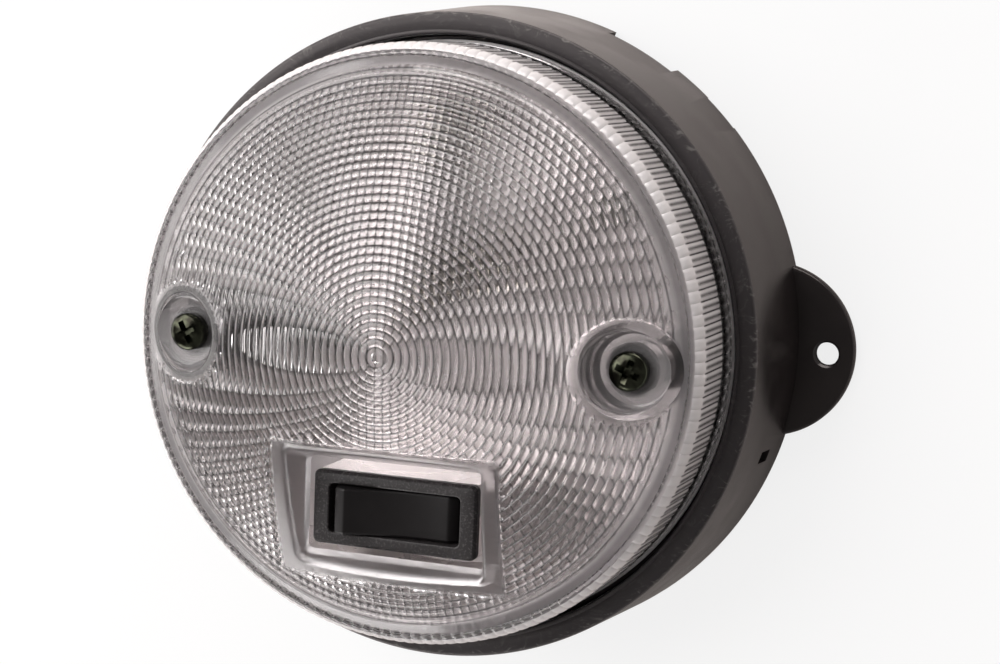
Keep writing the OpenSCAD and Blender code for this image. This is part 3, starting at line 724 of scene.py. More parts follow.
# %% Housing cuts
NOTCH, RELIEFS, NOTCH_DEPTH, RELIEF_DEPTH = (55.2, 68.3), ((41, 48), (-60, -52)), 4.6, 0.9
DRAIN_ANGLE, DRAIN_HALF_W, DRAIN_LOW, DRAIN_HIGH = -18, 1.2, 8.0, 13.0
TAB_SLOTS, TAB_HALF_L, TAB_HALF_W = ((-10.9, 12.0), (16.0, 12.0), (10.9, -10.0)), 3.65, 0.8
LENS_BORE_L, LENS_BORE_R, SMALL_BORE_R = 19, 1.75, 1.45


def rim_sector(start, end, depth):
    """A curved block that cuts the rear rim from one angle to another."""
    section = ((56, -1), (66, -1), (66, depth), (56, depth))
    return capped("rim_sector", [[(r * math.cos(a), r * math.sin(a), z) for r, z in section]
                                 for a in np.radians(np.linspace(start, end, 10))])


def turned_about_axis(tool, degrees):
    tool.data.transform(Matrix.Rotation(math.radians(degrees), 4, "Z"))
    return tool


cuts = [rim_sector(*NOTCH, NOTCH_DEPTH)] + [rim_sector(*span, RELIEF_DEPTH) for span in RELIEFS]
drain = block("drain", (55.9, -DRAIN_HALF_W, DRAIN_LOW), (64.7, DRAIN_HALF_W, DRAIN_HIGH))
cuts.append(turned_about_axis(drain, DRAIN_ANGLE))
lens_bore = [(LENS_BORE_R, RECESS_Z - LENS_BORE_L), (LENS_BORE_R, RECESS_Z)]
cuts += [turned("bore", lens_bore, 32, (side * SCREW_X, 0.0)) for side in (-1, 1)]
small_bore = [(SMALL_BORE_R, PLATE_Z + WALL), (SMALL_BORE_R, 20.0)]
cuts += [turned("bore", small_bore, 32, place) for place in REFLECTOR_SCREWS]
for x, y in TAB_SLOTS:
    cuts.append(block("tab_slot", (x - TAB_HALF_L, y - TAB_HALF_W, 8.5),
                      (x + TAB_HALF_L, y + TAB_HALF_W, 12.0)))
combine(housing, cuts, "DIFFERENCE")
finish_mesh(housing, sharp=32)

# %% [markdown]
# ## The ribs behind the lens seat
# Eighteen equal ribs stiffen the back of the cup. A repeat like this is what Geometry Nodes are for:
# the rib is copied once for each number, and each copy is turned one step further round the axis. The
# tree's inputs carry the rib, the number and the first angle, and the result becomes a plain mesh.

# %% Geometry Nodes helpers
def add_node(tree, kind, values=None, **settings):
    """A new node. Each of its inputs takes a plain value or another node's output."""
    made = tree.nodes.new(kind)
    for key, value in settings.items():
        setattr(made, key, value)
    for key, value in (values or {}).items():
        if isinstance(value, bpy.types.NodeSocket):
            tree.links.new(value, made.inputs[key])
        else:
            made.inputs[key].default_value = value
    return made


class Tree:
    """A Geometry Nodes tree with named inputs. The last one is always its finish."""

    def __init__(self, name, inputs):
        self.tree = bpy.data.node_groups.new(name, "GeometryNodeTree")
        self.ids = {}
        for label, kind in [*inputs.items(), ("Finish", "Material")]:
            socket = self.tree.interface.new_socket(label, in_out="INPUT", socket_type="NodeSocket" + kind)
            self.ids[label] = socket.identifier
        self.tree.interface.new_socket("Geometry", in_out="OUTPUT", socket_type="NodeSocketGeometry")
        self.inputs = self.tree.nodes.new("NodeGroupInput")
        self.outputs = self.tree.nodes.new("NodeGroupOutput")

    def node(self, kind, values=None, **settings):
        return add_node(self.tree, kind, values, **settings)

    def given(self, label):
        return self.inputs.outputs[label]

    def end(self, geometry):
        """Closes the tree with Realize Instances and Set Material."""
        real = self.node("GeometryNodeRealizeInstances", {"Geometry": geometry})
        paint = self.node("GeometryNodeSetMaterial", {"Geometry": real.outputs[0],
                                                      "Material": self.given("Finish")})
        self.tree.links.new(paint.outputs[0], self.outputs.inputs["Geometry"])
        print("tree:", self.tree.name, len(self.tree.nodes), "nodes")

    def end_with_copies(self, shape, points, angle):
        """Stands a given object on each point, turned about the vertical, and closes the tree."""
        spin = self.node("ShaderNodeCombineXYZ", {"Z": angle})
        source = self.node("GeometryNodeObjectInfo", {"Object": self.given(shape)})
        copies = self.node("GeometryNodeInstanceOnPoints", {"Points": points, "Rotation": spin.outputs[0],
                                                            "Instance": source.outputs["Geometry"]})
        self.end(copies.outputs[0])

    def grow(self, name, values):
        """Runs the tree on an empty mesh and keeps the result as a plain piece."""
        piece = link(name, bpy.data.meshes.new(name))
        step = piece.modifiers.new("grow", "NODES")
        step.node_group = self.tree
        for label, value in values.items():
            step[self.ids[label]] = value
        settle(piece)
        return piece


# %% Rib tree
RIB_COUNT, RIB_T = 18, 1.6
ribs_tree = Tree("ring_of_ribs", {"Rib": "Object", "Count": "Int", "Start angle": "Float"})
rib_number = ribs_tree.node("GeometryNodeInputIndex").outputs[0]
rib_count = ribs_tree.given("Count")
dots = ribs_tree.node("GeometryNodeMeshLine", {"Offset": (0, 0, 0), "Count": rib_count}, mode="OFFSET")
step = ribs_tree.node("ShaderNodeMath", {0: 2 * math.pi, 1: rib_count}, operation="DIVIDE")
rib_angle = ribs_tree.node("ShaderNodeMath", {0: rib_number, 1: step.outputs[0],
                                              2: ribs_tree.given("Start angle")}, operation="MULTIPLY_ADD")
ribs_tree.end_with_copies("Rib", dots.outputs[0], rib_angle.outputs[0])

# %% [markdown]
# ## The rear ribs, made
# The rib itself is a plain block that starts inside the collar and ends inside the outer wall, so that
# no edge of it shows on the outside of the cup.

# %% Rear ribs
RIB_LOW, RIB_TOP = PLATE_Z + 0.7, 21.9
rib_shape = block("rib_shape", (COLLAR_R - WALL / 2, -RIB_T / 2, RIB_LOW),
                  (wall_r(SEAT_Z) - WALL / 4, RIB_T / 2, RIB_TOP))
housing_black = bpy.data.materials.new("housing_black")
ribs = ribs_tree.grow("housing_ribs", {"Rib": rib_shape, "Count": RIB_COUNT,
                                       "Start angle": math.pi / RIB_COUNT, "Finish": housing_black})
bpy.data.objects.remove(rib_shape)
finish_mesh(ribs)

# %% [markdown]
# ## The switch body
# The rocker switch is a bought-in part with a charcoal bezel that rests on the tower of the
# reflector. The bezel has a bevelled front and round corners, and its opening leads down into a deep
# case. Rows of rounded rectangles make the case inside and out as one skin.

# %% Switch body
SWITCH_Y, BEZEL_W, BEZEL_H, BEZEL_Z, BEZEL_T = -29.6, 15.8, 6.8, 47.2, 2.0
OPENING_W, OPENING_H, CASE_Z, CASE_FLOOR_Z = 12.6, 4.5, 26.2, 28.2
bezel_base = (BEZEL_W, BEZEL_H)


def switch_row(half_w, half_h, radius, z):
    plan = np.array(rounded_rect(half_w, half_h, radius, SWITCH_Y, side_step=1.5, base=bezel_base))
    return with_z(plan, z)


# Half width, half height, corner radius and height of each row, from the case's floor round to its foot
body_rows = [(OPENING_W, OPENING_H, 0.9, CASE_FLOOR_Z), (OPENING_W, OPENING_H, 0.9, BEZEL_Z - 0.35),
             (OPENING_W + 0.08, OPENING_H + 0.08, 0.95, BEZEL_Z - 0.12),
             (OPENING_W + 0.3, OPENING_H + 0.3, 1.1, BEZEL_Z),
             (BEZEL_W - 0.62, BEZEL_H - 0.62, 0.8, BEZEL_Z),
             (BEZEL_W - 0.5, BEZEL_H - 0.5, 0.85, BEZEL_Z - 0.05),
             (BEZEL_W - 0.12, BEZEL_H - 0.12, 1.15, BEZEL_Z - 0.42),
             (BEZEL_W, BEZEL_H, 1.2, BEZEL_Z - 0.62),
             (BEZEL_W, BEZEL_H, 1.2, BEZEL_Z - BEZEL_T + 0.2),
             (BEZEL_W - 0.2, BEZEL_H - 0.2, 1.1, BEZEL_Z - BEZEL_T),
             (OPENING_W + 1, OPENING_H + 1, 0.5, BEZEL_Z - BEZEL_T),
             (OPENING_W + 1, OPENING_H + 1, 0.5, CASE_Z + 0.3),
             (OPENING_W + 0.7, OPENING_H + 0.7, 0.4, CASE_Z)]
switch_body = capped("switch_housing", [switch_row(*row) for row in body_rows])
TERMINAL_X, TERMINAL_HALF_W, TERMINAL_HALF_T = (-8.0, 0.0, 8.0), 2.4, 0.4
slots = [block("slot", (x - TERMINAL_HALF_T, SWITCH_Y - TERMINAL_HALF_W, 25.0),
               (x + TERMINAL_HALF_T, SWITCH_Y + TERMINAL_HALF_W, 29.0)) for x in TERMINAL_X]
combine(switch_body, slots, "DIFFERENCE")

# %% [markdown]
# ## The rocker
# The key is a block with a hollow face between two facets, and it stands ten degrees to one side.
# Its side profile is drawn about the pivot, and repeated across the key with small insets at both
# sides, so that the long edges are rounded.

# %% Rocker
PIVOT_Z, KEY_HALF, FACE_HALF, KEY_HOLLOW, KEY_FACE, KEY_END, KEY_TILT = 44.0, 11.4, 9.6, 1.3, 3.9, 2.8, 10
KEY_W, KEY_FOOT, SLEEVE_R, SLEEVE_L, SPRING_BORE_R, SPRING_TOP = 4.2, -0.8, 2.1, 7.05, 1.15, 2.2
HUB_R, PIN_R, PIN_HALF_L, PIN_HOLE_R, PIN_HOLE_HALF_L = 2.4, 1.2, 5.3, 1.25, 5.6
POCKET_NEAR, POCKET_FAR, POCKET_HALF_W = 3.4, 9.8, 2.8
key_r = math.hypot(KEY_HALF, KEY_END)
hollow_r = (FACE_HALF ** 2 + KEY_HOLLOW ** 2) / (2 * KEY_HOLLOW)


def key_profile():
    """The key seen from the side, from its right foot over the face to its left foot."""
    half = []
    for a in np.linspace(math.asin(KEY_FOOT / key_r), math.asin(KEY_END / key_r), 6)[:-1]:
        half.append((key_r * math.cos(a), key_r * math.sin(a)))
    crest = (FACE_HALF - 0.35, KEY_FACE - 0.12)
    half += round_corner((KEY_HALF, KEY_END), (KEY_HALF + 0.05, KEY_END - 0.3),
                         (KEY_HALF - 0.3, KEY_END + 0.18), 3)
    half += round_corner((FACE_HALF, KEY_FACE), (FACE_HALF + 0.3, KEY_FACE - 0.18), crest, 3)
    face = []
    for x in np.linspace(FACE_HALF - 0.9, -FACE_HALF + 0.9, 23):
        face.append((x, KEY_FACE - KEY_HOLLOW + hollow_r - math.sqrt(hollow_r ** 2 - x ** 2)))
    return half + face + [(-x, z) for x, z in reversed(half)]


def inset(points, depth):
    """Moves a closed profile inwards by a small depth."""
    plan = np.array(points)
    along = np.roll(plan, -1, axis=0) - np.roll(plan, 1, axis=0)
    normal = np.stack([along[:, 1], -along[:, 0]], 1)
    return plan - depth * normal / np.linalg.norm(normal, axis=1, keepdims=True)


# How far the profile shrinks, and how far it lies in from the key's side
SIDE_INSETS = [(0.42, 0.0), (0.14, 0.12), (0.0, 0.4)]
key_rows = []
for side, steps in ((-1, SIDE_INSETS), (1, reversed(SIDE_INSETS))):
    for depth, back in steps:
        y = SWITCH_Y + side * (KEY_W - back)
        key_rows.append([(x, y, PIVOT_Z + z) for x, z in inset(key_profile(), depth)])
rocker = capped("rocker_key", key_rows)


def across_pivot(name, radius, half_l, bevel=0.2):
    """A cylinder along the pivot's axis."""
    tool = turned(name, [(radius - bevel, -half_l), (radius, bevel - half_l), (radius, half_l - bevel),
                         (radius - bevel, half_l)], 32)
    tool.data.transform(Matrix.Rotation(math.pi / 2, 4, "X"))
    tool.data.transform(Matrix.Translation(Vector((0, SWITCH_Y, PIVOT_Z)) * MM))
    return tool


combine(switch_body, [across_pivot("pin_hole", PIN_HOLE_R, PIN_HOLE_HALF_L, 0.0)], "DIFFERENCE")
finish_mesh(switch_body, sharp=24)
sleeve = turned("sleeve", [(SLEEVE_R, PIVOT_Z - SLEEVE_L), (SLEEVE_R, PIVOT_Z - 0.3)], 32, (0, SWITCH_Y))
hub = across_pivot("hub", HUB_R, KEY_W - 0.05)
combine(rocker, [hub, sleeve, across_pivot("pin", PIN_R, PIN_HALF_L)], "UNION")
pockets = [block("pocket", (a, SWITCH_Y - POCKET_HALF_W, PIVOT_Z - 1.3),
                 (b, SWITCH_Y + POCKET_HALF_W, PIVOT_Z + 1.2))
           for a, b in ((POCKET_NEAR, POCKET_FAR), (-POCKET_FAR, -POCKET_NEAR))]
bore = turned("bore", [(SPRING_BORE_R, PIVOT_Z - SLEEVE_L - 1), (SPRING_BORE_R, PIVOT_Z - SPRING_TOP)], 32,
              (0, SWITCH_Y))
combine(rocker, pockets + [bore], "DIFFERENCE")
pivot = Matrix.Translation(Vector((0, SWITCH_Y, PIVOT_Z)) * MM)
key_turn = pivot @ Matrix.Rotation(math.radians(KEY_TILT), 4, "Y") @ pivot.inverted()
rocker.data.transform(key_turn)
finish_mesh(rocker, sharp=26)

# %% [markdown]
# ## The screws
# Two pan head screws hold the lens and two smaller ones hold the reflector. The head is turned, and a
# cross of four tapered slots is cut into it. A Geometry Nodes tree then sets the same screw in both
# places, each one turned a little differently, because no two screws stop at the same angle.

# %% One screw
def screw_shape(name, head_r, head_h, shank_r, length):
    """A pan head screw with its seat at z = 0."""
    dome_drop = head_h * 0.38
    profile = [(0.4, -length), (shank_r * 0.55, -length + 0.9), (shank_r, -length + 2.6), (shank_r, 0)]
    profile += [(head_r - 0.12, 0), (head_r, 0.12), (head_r, head_h - dome_drop - 0.25)]
    for k in range(1, 9):
        a = math.radians(90 * k / 9)
        profile.append((head_r * math.cos(a) ** 0.72, head_h - dome_drop + dome_drop * math.sin(a)))
    profile.append((0.25, head_h))
    screw = turned(name, profile, 40)
    arms = []
    for degrees in (0, 90):
        half_l, half_w, deep = head_r * 0.64, head_r * 0.17, head_h * 0.62
        sections = ((0.42, 0.7, head_h - deep), (1, 1, head_h - dome_drop * 0.35), (1, 1, head_h + 1))
        arm_rows = [[(sx * half_l * along, sy * half_w * across, z)
                     for sx, sy in ((-1, -1), (1, -1), (1, 1), (-1, 1))] for along, across, z in sections]
        arms.append(turned_about_axis(capped("arm", arm_rows), degrees))
    combine(screw, arms, "DIFFERENCE")
    finish_mesh(screw, sharp=30)
    return screw


# %% Screw tree
screws_tree = Tree("pair_of_screws", {"Screw": "Object", "Half spacing": "Float", "Place": "Vector",
                                      "First turn": "Float", "Second turn": "Float"})
half_way = screws_tree.given("Half spacing")
back = screws_tree.node("ShaderNodeMath", {0: half_way, 1: -1.0}, operation="MULTIPLY")
left = screws_tree.node("ShaderNodeCombineXYZ", {"X": back.outputs[0]})
start = screws_tree.node("ShaderNodeVectorMath", {0: left.outputs[0], 1: screws_tree.given("Place")},
                         operation="ADD")
whole_way = screws_tree.node("ShaderNodeMath", {0: half_way, 1: 2.0}, operation="MULTIPLY")
apart = screws_tree.node("ShaderNodeCombineXYZ", {"X": whole_way.outputs[0]})
dots = screws_tree.node("GeometryNodeMeshLine", {"Count": 2, "Start Location": start.outputs[0],
                                                 "Offset": apart.outputs[0]}, mode="OFFSET")
which = screws_tree.node("GeometryNodeInputIndex")
screw_angle = screws_tree.node("GeometryNodeSwitch", {"Switch": which.outputs[0],
                                                      "False": screws_tree.given("First turn"),
                                                      "True": screws_tree.given("Second turn")},
                               input_type="FLOAT")
screws_tree.end_with_copies("Screw", dots.outputs[0], screw_angle.outputs[0])

# %% Screws, made
screw_metal = bpy.data.materials.new("screw_metal")
small_screw_metal = bpy.data.materials.new("small_screw_metal")


def pair_of_screws(name, master, half_spacing, y, z, turns, finish):
    first, second = (math.radians(degrees) for degrees in turns)
    made = screws_tree.grow(name, {"Screw": master, "Half spacing": half_spacing * MM,
                                   "Place": (0.0, y * MM, z * MM), "First turn": first,
                                   "Second turn": second, "Finish": finish})
    bpy.data.objects.remove(master)
    finish_mesh(made, sharp=30)
    return made


lens_screw = screw_shape("screw", head_r=3.45, head_h=2.6, shank_r=1.75, length=16.8)
lens_screws = pair_of_screws("lens_screws", lens_screw, SCREW_X, y=0, z=RECESS_Z, turns=(30, -22),
                             finish=screw_metal)
SMALL_SEAT_Z = 19.5
small_screw = screw_shape("screw", head_r=2.8, head_h=1.8, shank_r=1.45, length=7.2)
reflector_screws = pair_of_screws("reflector_screws", small_screw, *REFLECTOR_SCREWS[1], z=SMALL_SEAT_Z,
                                  turns=(10, 55), finish=small_screw_metal)

# %% [markdown]
# ## Coils
# The switch's spring and the bulb's filament are both wire wound round an axis. One Geometry Nodes
# tree sweeps a round wire along a spiral, and its inputs make either the stiff spring or the fine
# filament.

# %% Coil tree
WIRE_SIDES = 8
coil_tree = Tree("wound_wire", {"Coil radius": "Float", "Length": "Float", "Turns": "Float",
                                "Wire radius": "Float", "Steps a turn": "Int"})
SPIRAL_INPUTS = {"Start Radius": "Coil radius", "End Radius": "Coil radius", "Height": "Length",
                 "Rotations": "Turns", "Resolution": "Steps a turn"}
spiral = coil_tree.node("GeometryNodeCurveSpiral",
                        {socket: coil_tree.given(label) for socket, label in SPIRAL_INPUTS.items()})
wire = coil_tree.node("GeometryNodeCurvePrimitiveCircle", {"Resolution": WIRE_SIDES,
                                                           "Radius": coil_tree.given("Wire radius")})
sweep = coil_tree.node("GeometryNodeCurveToMesh", {"Curve": spiral.outputs[0], "Fill Caps": True,
                                                   "Profile Curve": wire.outputs[0]})
coil_tree.end(sweep.outputs[0])

# %% Spring and plunger
spring_steel = bpy.data.materials.new("spring_steel")
SPRING_FOOT, SPRING_WIRE, SPRING_R, SPRING_TURNS, PLUNGER_L, PLUNGER_R = 5.55, 0.2, 0.72, 5.0, 9.9, 1.1
spring_l = SPRING_FOOT - SPRING_TOP - 2.4 * SPRING_WIRE
spring = coil_tree.grow("plunger_spring", {"Coil radius": SPRING_R * MM, "Length": spring_l * MM,
                                           "Turns": SPRING_TURNS, "Wire radius": SPRING_WIRE * MM,
                                           "Steps a turn": 20, "Finish": spring_steel})
spring_start = Vector((0, SWITCH_Y, PIVOT_Z - SPRING_FOOT + 1.1 * SPRING_WIRE)) * MM
spring.data.transform(key_turn @ Matrix.Translation(spring_start))
finish_mesh(spring, merge=0.001)
ball_z = PIVOT_Z - PLUNGER_L + PLUNGER_R
tip = [(PLUNGER_R * math.sin(a), ball_z - PLUNGER_R * math.cos(a))
       for a in np.radians((8, 22, 36, 50, 64, 78, 90))]
stem = [(PLUNGER_R, PIVOT_Z - SPRING_FOOT - 0.15), (0.95, PIVOT_Z - SPRING_FOOT)]
plunger = turned("plunger", tip + stem, 32, (0, SWITCH_Y))
plunger.data.transform(key_turn)

# %% [markdown]
# ## The bulb
# A festoon bulb lies behind the lens between two sprung contacts. Its glass is a thin-walled tube
# that necks down into the caps, so it is made as a skin with an outer and an inner side. Inside it the
# filament hangs between two lead wires.

# %% Bulb glass
BULB_Y, BULB_Z, GLASS_R, GLASS_HALF, GLASS_T = 24.5, 30.0, 5.25, 12.0, 0.5
neck = [(3.2, GLASS_HALF), (3.3, 11.6), (3.9, 10.7), (4.7, 9.8), (5.1, 9.1), (GLASS_R, 8.2)]
glass_outer = [(r, -along) for r, along in neck] + neck[::-1]
glass = Shell()


def glass_row(r, along):
    return glass.row([(x, BULB_Y + along, BULB_Z + y) for x, y, _ in circle_row(r, 0, 48)])


rows = [glass_row(r, along) for r, along in glass_outer]
rows += [glass_row(r - GLASS_T, along) for r, along in reversed(glass_outer)]
for a, b in zip(rows, rows[1:] + rows[:1]):
    glass.join(a, b)
bulb_envelope = glass.piece("bulb_envelope", sharp=50)

# %% Filament
filament_metal = bpy.data.materials.new("filament_metal")
FILAMENT_HALF, FILAMENT_R, FILAMENT_WIRE, FILAMENT_TURNS, LEAD_R = 5.5, 0.32, 0.07, 26.0, 0.14
filament = coil_tree.grow("bulb_filament", {"Coil radius": FILAMENT_R * MM, "Length": 2 * FILAMENT_HALF * MM,
                                            "Turns": FILAMENT_TURNS, "Wire radius": FILAMENT_WIRE * MM,
                                            "Steps a turn": 12, "Finish": filament_metal})
filament.data.transform(Matrix.Rotation(-math.pi / 2, 4, "X"))
filament.data.transform(Matrix.Translation(Vector((0, BULB_Y - FILAMENT_HALF, BULB_Z)) * MM))
leads = []
for side in (-1, 1):
    lead = turned("filament_lead", [(LEAD_R, 0), (LEAD_R, GLASS_HALF - FILAMENT_HALF + 0.6)], 10)
    lead.data.transform(Matrix.Rotation(-math.pi / 2, 4, "X"))
    low = BULB_Y + (FILAMENT_HALF - 0.3 if side > 0 else -GLASS_HALF - 0.3)
    lead.data.transform(Matrix.Translation(Vector((0, low, BULB_Z)) * MM))
    leads.append(lead)
combine(filament, leads, "UNION")
finish_mesh(filament, merge=0.0005)

# %% [markdown]
# ## Effects that several finishes share
# Moulded plastic is never quite even. It has a fine grain, a soft unevenness in its gloss, and scuffs
# where it has rubbed. Each effect is one shader node group with named inputs, placed in a material
# with its own values. The groups give out only masks and heights, and the shader stays outside.

# %% Shader group helpers
class Effect:
    """A shader node group with named inputs and outputs."""

    def __init__(self, name, inputs, outputs):
        self.tree = bpy.data.node_groups.new(name, "ShaderNodeTree")
        for label, value in inputs.items():
            socket = self.tree.interface.new_socket(label, in_out="INPUT", socket_type="NodeSocketFloat")
            socket.default_value = value
        for label in outputs:
            self.tree.interface.new_socket(label, in_out="OUTPUT", socket_type="NodeSocketFloat")
        self.inputs = self.tree.nodes.new("NodeGroupInput")
        self.outputs = self.tree.nodes.new("NodeGroupOutput")
        self.where = self.tree.nodes.new("ShaderNodeTexCoord").outputs["Object"]

    def node(self, kind, values=None, **settings):
        return add_node(self.tree, kind, values, **settings)

    def given(self, label):
        return self.inputs.outputs[label]

    def give(self, label, result):
        self.tree.links.new(result, self.outputs.inputs[label])


def remap(source, low, high, out_low=0.0, out_high=1.0):
    """Spreads a value from one range over another, with soft ends, in the tree that it comes from."""
    made = add_node(source.id_data, "ShaderNodeMapRange",
                    {"Value": source, "From Min": low, "From Max": high, "To Min": out_low,
                     "To Max": out_high}, interpolation_type="SMOOTHSTEP")
    return made.outputs[0]


def maths(kind, a, b=0.0):
    return add_node(a.id_data, "ShaderNodeMath", {0: a, 1: b}, operation=kind).outputs[0]


def times(a, b):
    return maths("MULTIPLY", a, b)


def plus(a, b):
    return maths("ADD", a, b)


# %% Moulded grain
grain = Effect("moulded_grain", {"Grains a metre": 2600.0, "Patches a metre": 60.0},
               ["Height", "Unevenness"])
fine = grain.node("ShaderNodeTexNoise", {"Vector": grain.where, "Scale": grain.given("Grains a metre"),
                                         "Detail": 3.0, "Roughness": 0.65})
broad = grain.node("ShaderNodeTexNoise", {"Vector": grain.where, "Scale": grain.given("Patches a metre"),
                                          "Detail": 4.0})
grain.give("Height", fine.outputs[0])
grain.give("Unevenness", remap(broad.outputs[0], 0.35, 0.65))

# %% Scuffs
scuffs = Effect("scuffs", {"Marks a metre": 420.0, "Cover": 0.5, "Stretch": 6.0}, ["Marks", "Depth"])
BEND = (0.02, 0.02, 0.02)
bend_noise = scuffs.node("ShaderNodeTexNoise", {"Vector": scuffs.where, "Scale": 90.0, "Detail": 2.0})
shifted = scuffs.node("ShaderNodeVectorMath", {0: bend_noise.outputs[1], 1: BEND}, operation="MULTIPLY")
moved = scuffs.node("ShaderNodeVectorMath", {0: scuffs.where, 1: shifted.outputs[0]}, operation="ADD")
stretch = scuffs.node("ShaderNodeCombineXYZ", {"X": 1.0, "Y": scuffs.given("Stretch"), "Z": 1.0})
long_way = scuffs.node("ShaderNodeVectorMath", {0: moved.outputs[0], 1: stretch.outputs[0]},
                       operation="MULTIPLY")
marks = scuffs.node("ShaderNodeTexNoise", {"Vector": long_way.outputs[0],
                                           "Scale": scuffs.given("Marks a metre"),
                                           "Detail": 5.0, "Roughness": 0.7})
scuffs.give("Marks", times(remap(marks.outputs[0], 0.52, 0.68), scuffs.given("Cover")))
scuffs.give("Depth", marks.outputs[0])

# %% [markdown]
# ## The valleys of the lens, and their painted shade
# On the real lens each valley between two rings, flutes or ribs shows as a thin dark line, because
# its tight bottom throws the light aside. The mesh is too coarse for so small a round, so that shade
# is painted: one effect measures how far a point is from the nearest valley and gives a mask for each
# kind, and the lens finishes paint shade into their colour with them. It uses the same pitches and
# radii as the mesh, so that its lines lie in the valleys. Its masks for the smooth borders and for
# the middles of the skirt's ribs carry painted shade too.

# %% Valleys of the lens
def fold(value):
    """Distance from the nearest whole number."""
    return maths("PINGPONG", value, 0.5)


def length(a, b):
    return maths("SQRT", plus(times(a, a), times(b, b)))


def near(gap, line):
    """One at a valley, fading to nothing where the gap reaches the width of the line."""
    return remap(maths("DIVIDE", gap, valleys.given(line)), 0, 1, 1, 0)


valleys = Effect("lens_valleys", {"Ring line": 0.34, "Flute line": 0.25, "Skirt line": 0.3},
                 ["Rings", "Flutes", "Skirt", "Smooth", "Window", "Rib middle"])
# The place in millimetres, and whether it is on the outer face
in_mm = valleys.node("ShaderNodeVectorMath", {0: valleys.where, "Scale": 1 / MM}, operation="SCALE")
parts = valleys.node("ShaderNodeSeparateXYZ", {0: in_mm.outputs[0]})
x, y, z = parts.outputs
r = length(x, y)
outer_side = maths("GREATER_THAN", length(r, plus(z, -DOME_Z)), DOME_R - LENS_T / 2)
# How far the borders of the window and of the nearer screw are
beside_x = plus(maths("ABSOLUTE", x), -WINDOW_W)
beside_y = plus(maths("ABSOLUTE", plus(y, -WINDOW_Y)), -WINDOW_H)
to_window = maths("MAXIMUM", beside_x, beside_y)
from_screw = plus(maths("ABSOLUTE", x), -SCREW_X)
to_border = maths("MINIMUM", to_window, plus(length(from_screw, y), -RECESS_R - RECESS_BORDER))
patterned = maths("GREATER_THAN", to_border, STEP_W)
# The rings of the outer face
turn_count = maths("DIVIDE", plus(r, -DISC_R), RING_PITCH)
ring_gap = times(fold(turn_count), RING_PITCH)
in_rings = times(maths("GREATER_THAN", r, DISC_R - 0.3),
                 maths("LESS_THAN", r, DISC_R + (RING_COUNT + 0.2) * RING_PITCH))
rings = times(times(near(ring_gap, "Ring line"), in_rings), times(patterned, outer_side))
# The straight flutes of the inner face
flute_gap = times(fold(plus(maths("DIVIDE", x, FLUTE_PITCH), 0.5)), FLUTE_PITCH)
in_flutes = remap(r, FLUTE_END_R - 1.2, FLUTE_END_R - 2)
inner_side = times(plus(times(outer_side, -1.0), 1.0), in_flutes)
flutes = times(times(near(flute_gap, "Flute line"), inner_side), patterned)
# The short flutes of the side wall, and the middles of the ribs between them
round_share = times(maths("ARCTAN2", y, x), SKIRT_FLUTES / (2 * math.pi))
skirt_gap = times(fold(round_share), 2 * math.pi * SHOULDER_R / SKIRT_FLUTES)
on_skirt = times(times(maths("GREATER_THAN", r, SHOULDER_R - 0.6), remap(z, FLUTE_FOOT_Z, FLUTE_FOOT_Z + 1)),
                 remap(z, SHOULDER_Z + 0.6, SHOULDER_Z))
skirt_lines = times(near(skirt_gap, "Skirt line"), on_skirt)
middle_gap = plus(times(skirt_gap, -1.0), math.pi * SHOULDER_R / SKIRT_FLUTES)
rib_middle = times(remap(middle_gap, 0.05, 0.55, 1, 0), on_skirt)
# The smooth borders and the smooth band at the edge of the face, which get painted shade and haze
in_border = remap(to_border, 0.2, -0.6)
in_band = times(remap(r, DISC_R + RING_COUNT * RING_PITCH, FLUTE_END_R + 0.6),
                remap(r, FACE_EDGE_R + 0.1, FACE_EDGE_R - 0.1))
smooth_part = times(maths("MAXIMUM", in_border, in_band), maths("GREATER_THAN", z, 30.0))
for label, mask in (("Rings", rings), ("Flutes", flutes), ("Skirt", skirt_lines), ("Smooth", smooth_part),
                    ("Window", remap(to_window, 0.2, -0.6)), ("Rib middle", rib_middle)):
    valleys.give(label, mask)
print("effects:", grain.tree.name, scuffs.tree.name, valleys.tree.name)

# %% [markdown]
# ## Finishes
# Each finish is one Principled shader. The helper below sets what is the same everywhere on the
# shader's own sockets, places the grain, and lets colour, roughness and relief change a little from
# place to place.

# %% Finish helpers
def start_finish(name, **constants):
    material = bpy.data.materials.get(name) or bpy.data.materials.new(name)
    material.use_nodes = True
    tree = material.node_tree
    shader = tree.nodes["Principled BSDF"]
    for key, value in constants.items():
        shader.inputs[key.replace("_", " ")].default_value = value
    return material, tree, shader


def place_effect(tree, effect, **values):
    made = tree.nodes.new("ShaderNodeGroup")
    made.node_tree = effect.tree
    for key, value in values.items():
        made.inputs[key.replace("_", " ")].default_value = value
    return made


def blend_colours(share, a, b):
    """Goes from colour a to colour b with the share. Inputs 6 and 7 of the node are its colours."""
    a, b = ((*colour, 1.0) if isinstance(colour, tuple) else colour for colour in (a, b))
    return add_node(share.id_data, "ShaderNodeMix", {0: share, 6: a, 7: b}, data_type="RGBA").outputs[2]


def relief(tree, shader, height, depth_mm):
    bump = add_node(tree, "ShaderNodeBump", {"Height": height, "Distance": depth_mm * MM, "Strength": 1.0})
    tree.links.new(bump.outputs[0], shader.inputs["Normal"])


